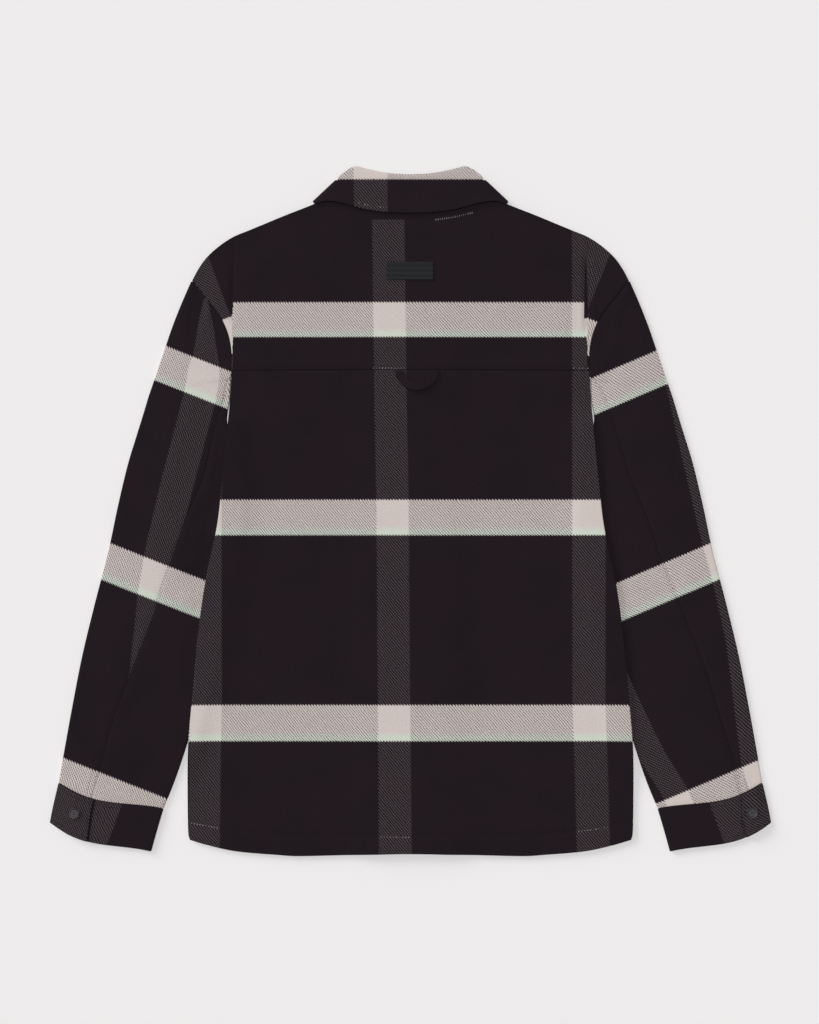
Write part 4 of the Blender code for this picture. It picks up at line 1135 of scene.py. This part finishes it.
def sewButtons():
    look = buttonLook
    threads, holes = [], []
    for side, word in ((-1, "left"), (1, "right")):
        low, high = (np.array(corner) * 1000 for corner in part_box("cuff_button_" + word))
        middle, top = (low + high) / 2, low[2] + (high[2] - low[2]) * look["recess"]
        reach = look["hole"] * math.sqrt(0.5)
        for offset in (-reach, reach):
            spot = np.array([middle[0], middle[1] + offset, top + look["threadRise"]])
            threads.append(np.array([spot, spot + look["threadStep"]]))
        rows = np.array(cuffLook["rows"][1:3])
        way = unit(rows[0, 0:2] - rows[0, 2:4])
        at, cuff = np.array(look["at"][side]), word + "CuffCloth"
        for across in (-look["slotHalf"], look["slotHalf"]):
            beside = at + across * np.array([-way[1], way[0]])
            ends = beside + np.outer(np.array((-1, 0, 1)) * look["slot"], way)
            holes.append(onCloth([cuff], side * ends[:, 0], ends[:, 1], look["sink"], look["step"]))
    sew("buttonThreads", "strand", darkThread, threads, 12)
    sew("buttonholeStitches", "bar", darkThread, holes, 13)


sewBody()
sewSleeves()
sewCollar()
sewTrim()
sewButtons()
print("sewing done")

# Buttons keep their solids and get the horn finish
for name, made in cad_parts.items():
    if "button_" in name:
        for materialSlot in made.material_slots:
            materialSlot.material = horn

# What each piece stands for, and the cut of its cloth: width and length in metres, and area where it
# isn't a rectangle
cuts = {
    "yokeCloth": ("back_yoke", (0.50, 0.196), 0.081),
    "backCloth": ("back_panel", (0.503, 0.549), 0.25),
    "leftFrontCloth": ("front_left", (0.25, 0.745), 0.150),
    "rightFrontCloth": ("front_right", (0.27, 0.745), 0.175),
    "buttonBandCloth": ("front_band", (0.035, 0.641), None),
    "leftSleeveInnerCloth": ("sleeve_left_inner", (0.11, 0.47), 0.040),
    "rightSleeveInnerCloth": ("sleeve_right_inner", (0.13, 0.47), 0.048),
    "collarLeafCloth": ("collar_fall", (0.45, 0.09), 0.0255),
    "collarStandCloth": ("collar_stand", (0.42, 0.05), 0.013),
    "hangingLoopCloth": ("hanging_loop", (0.010, 0.075), 0.00071),
    "bareLabelTape": ("label", (0.052, 0.020), None),
}
for word in ("left", "right"):
    cuts[word + "SleeveOuterCloth"] = ("sleeve_" + word + "_outer", (0.25, 0.60), 0.090)
    cuts[word + "CuffCloth"] = ("cuff_" + word, (0.256, 0.048), None)
    cuts[word + "ArmholeAllowance"] = (None, (0.011, 0.122), None)
for name, made in pieces.items():
    node, flat, area = cuts.get(name, (None, None, None))
    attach(made, "root")
    if node:
        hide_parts(node)

# A pale floor, a soft light right above and a lower one from the upper left, and the photo's camera
studio = {"lens": 100.0, "mmPerPixel": 1.13, "pixels": (819, 1024), "middleOut": 410.5, "neckRow": 205,
          "floorColour": "#EEECEC", "above": 1.99, "aboveAngle": 14, "aboveTurn": (-4, -3, 0),
          "side": 1.45, "sideAngle": 30, "sideTurn": (65, 0, -128), "fill": 0.17, "floorSize": 4.0,
          "floorLevel": -0.0003}


def makeStudio():
    look = studio
    size, level = look["floorSize"], look["floorLevel"]
    mesh = bpy.data.meshes.new("paleFloor")
    corners = [(-size, -size), (size, -size), (size, size), (-size, size)]
    mesh.from_pydata([(x, y, level) for x, y in corners], [], [(0, 1, 2, 3)])
    board = newFinish("matt studio board", {"Base Color": look["floorColour"], "Roughness": 1.0,
                                            "Specular IOR Level": 0.0})
    mesh.materials.append(board[0])
    floor = addObject("paleFloor", mesh)
    for word in ("above", "side"):
        data = bpy.data.lights.new(word + "Light", "SUN")
        data.energy, data.angle = look[word], math.radians(look[word + "Angle"])
        light = addObject(word + "Light", data)
        light.rotation_euler = [math.radians(part) for part in look[word + "Turn"]]
    world = bpy.data.worlds.new("pale studio")
    world.use_nodes = True
    for name, value in (("Color", (1, 1, 1, 1)), ("Strength", look["fill"])):
        world.node_tree.nodes["Background"].inputs[name].default_value = value
    bpy.context.scene.world = world
    data = bpy.data.cameras.new("photo camera")
    data.lens = look["lens"]
    camera = addObject("photo camera", data)
    tall = look["pixels"][1] * look["mmPerPixel"]
    x = ((look["pixels"][0] / 2 - look["middleOut"]) * look["mmPerPixel"]) / 1000
    y = (topY - (look["pixels"][1] / 2 - look["neckRow"]) * look["mmPerPixel"]) / 1000
    camera.location = (x, y, tall / 1000 * look["lens"] / data.sensor_width)
    bpy.context.scene.camera = camera
    bpy.context.scene.view_settings.view_transform = "Standard"


makeStudio()
print("studio made")
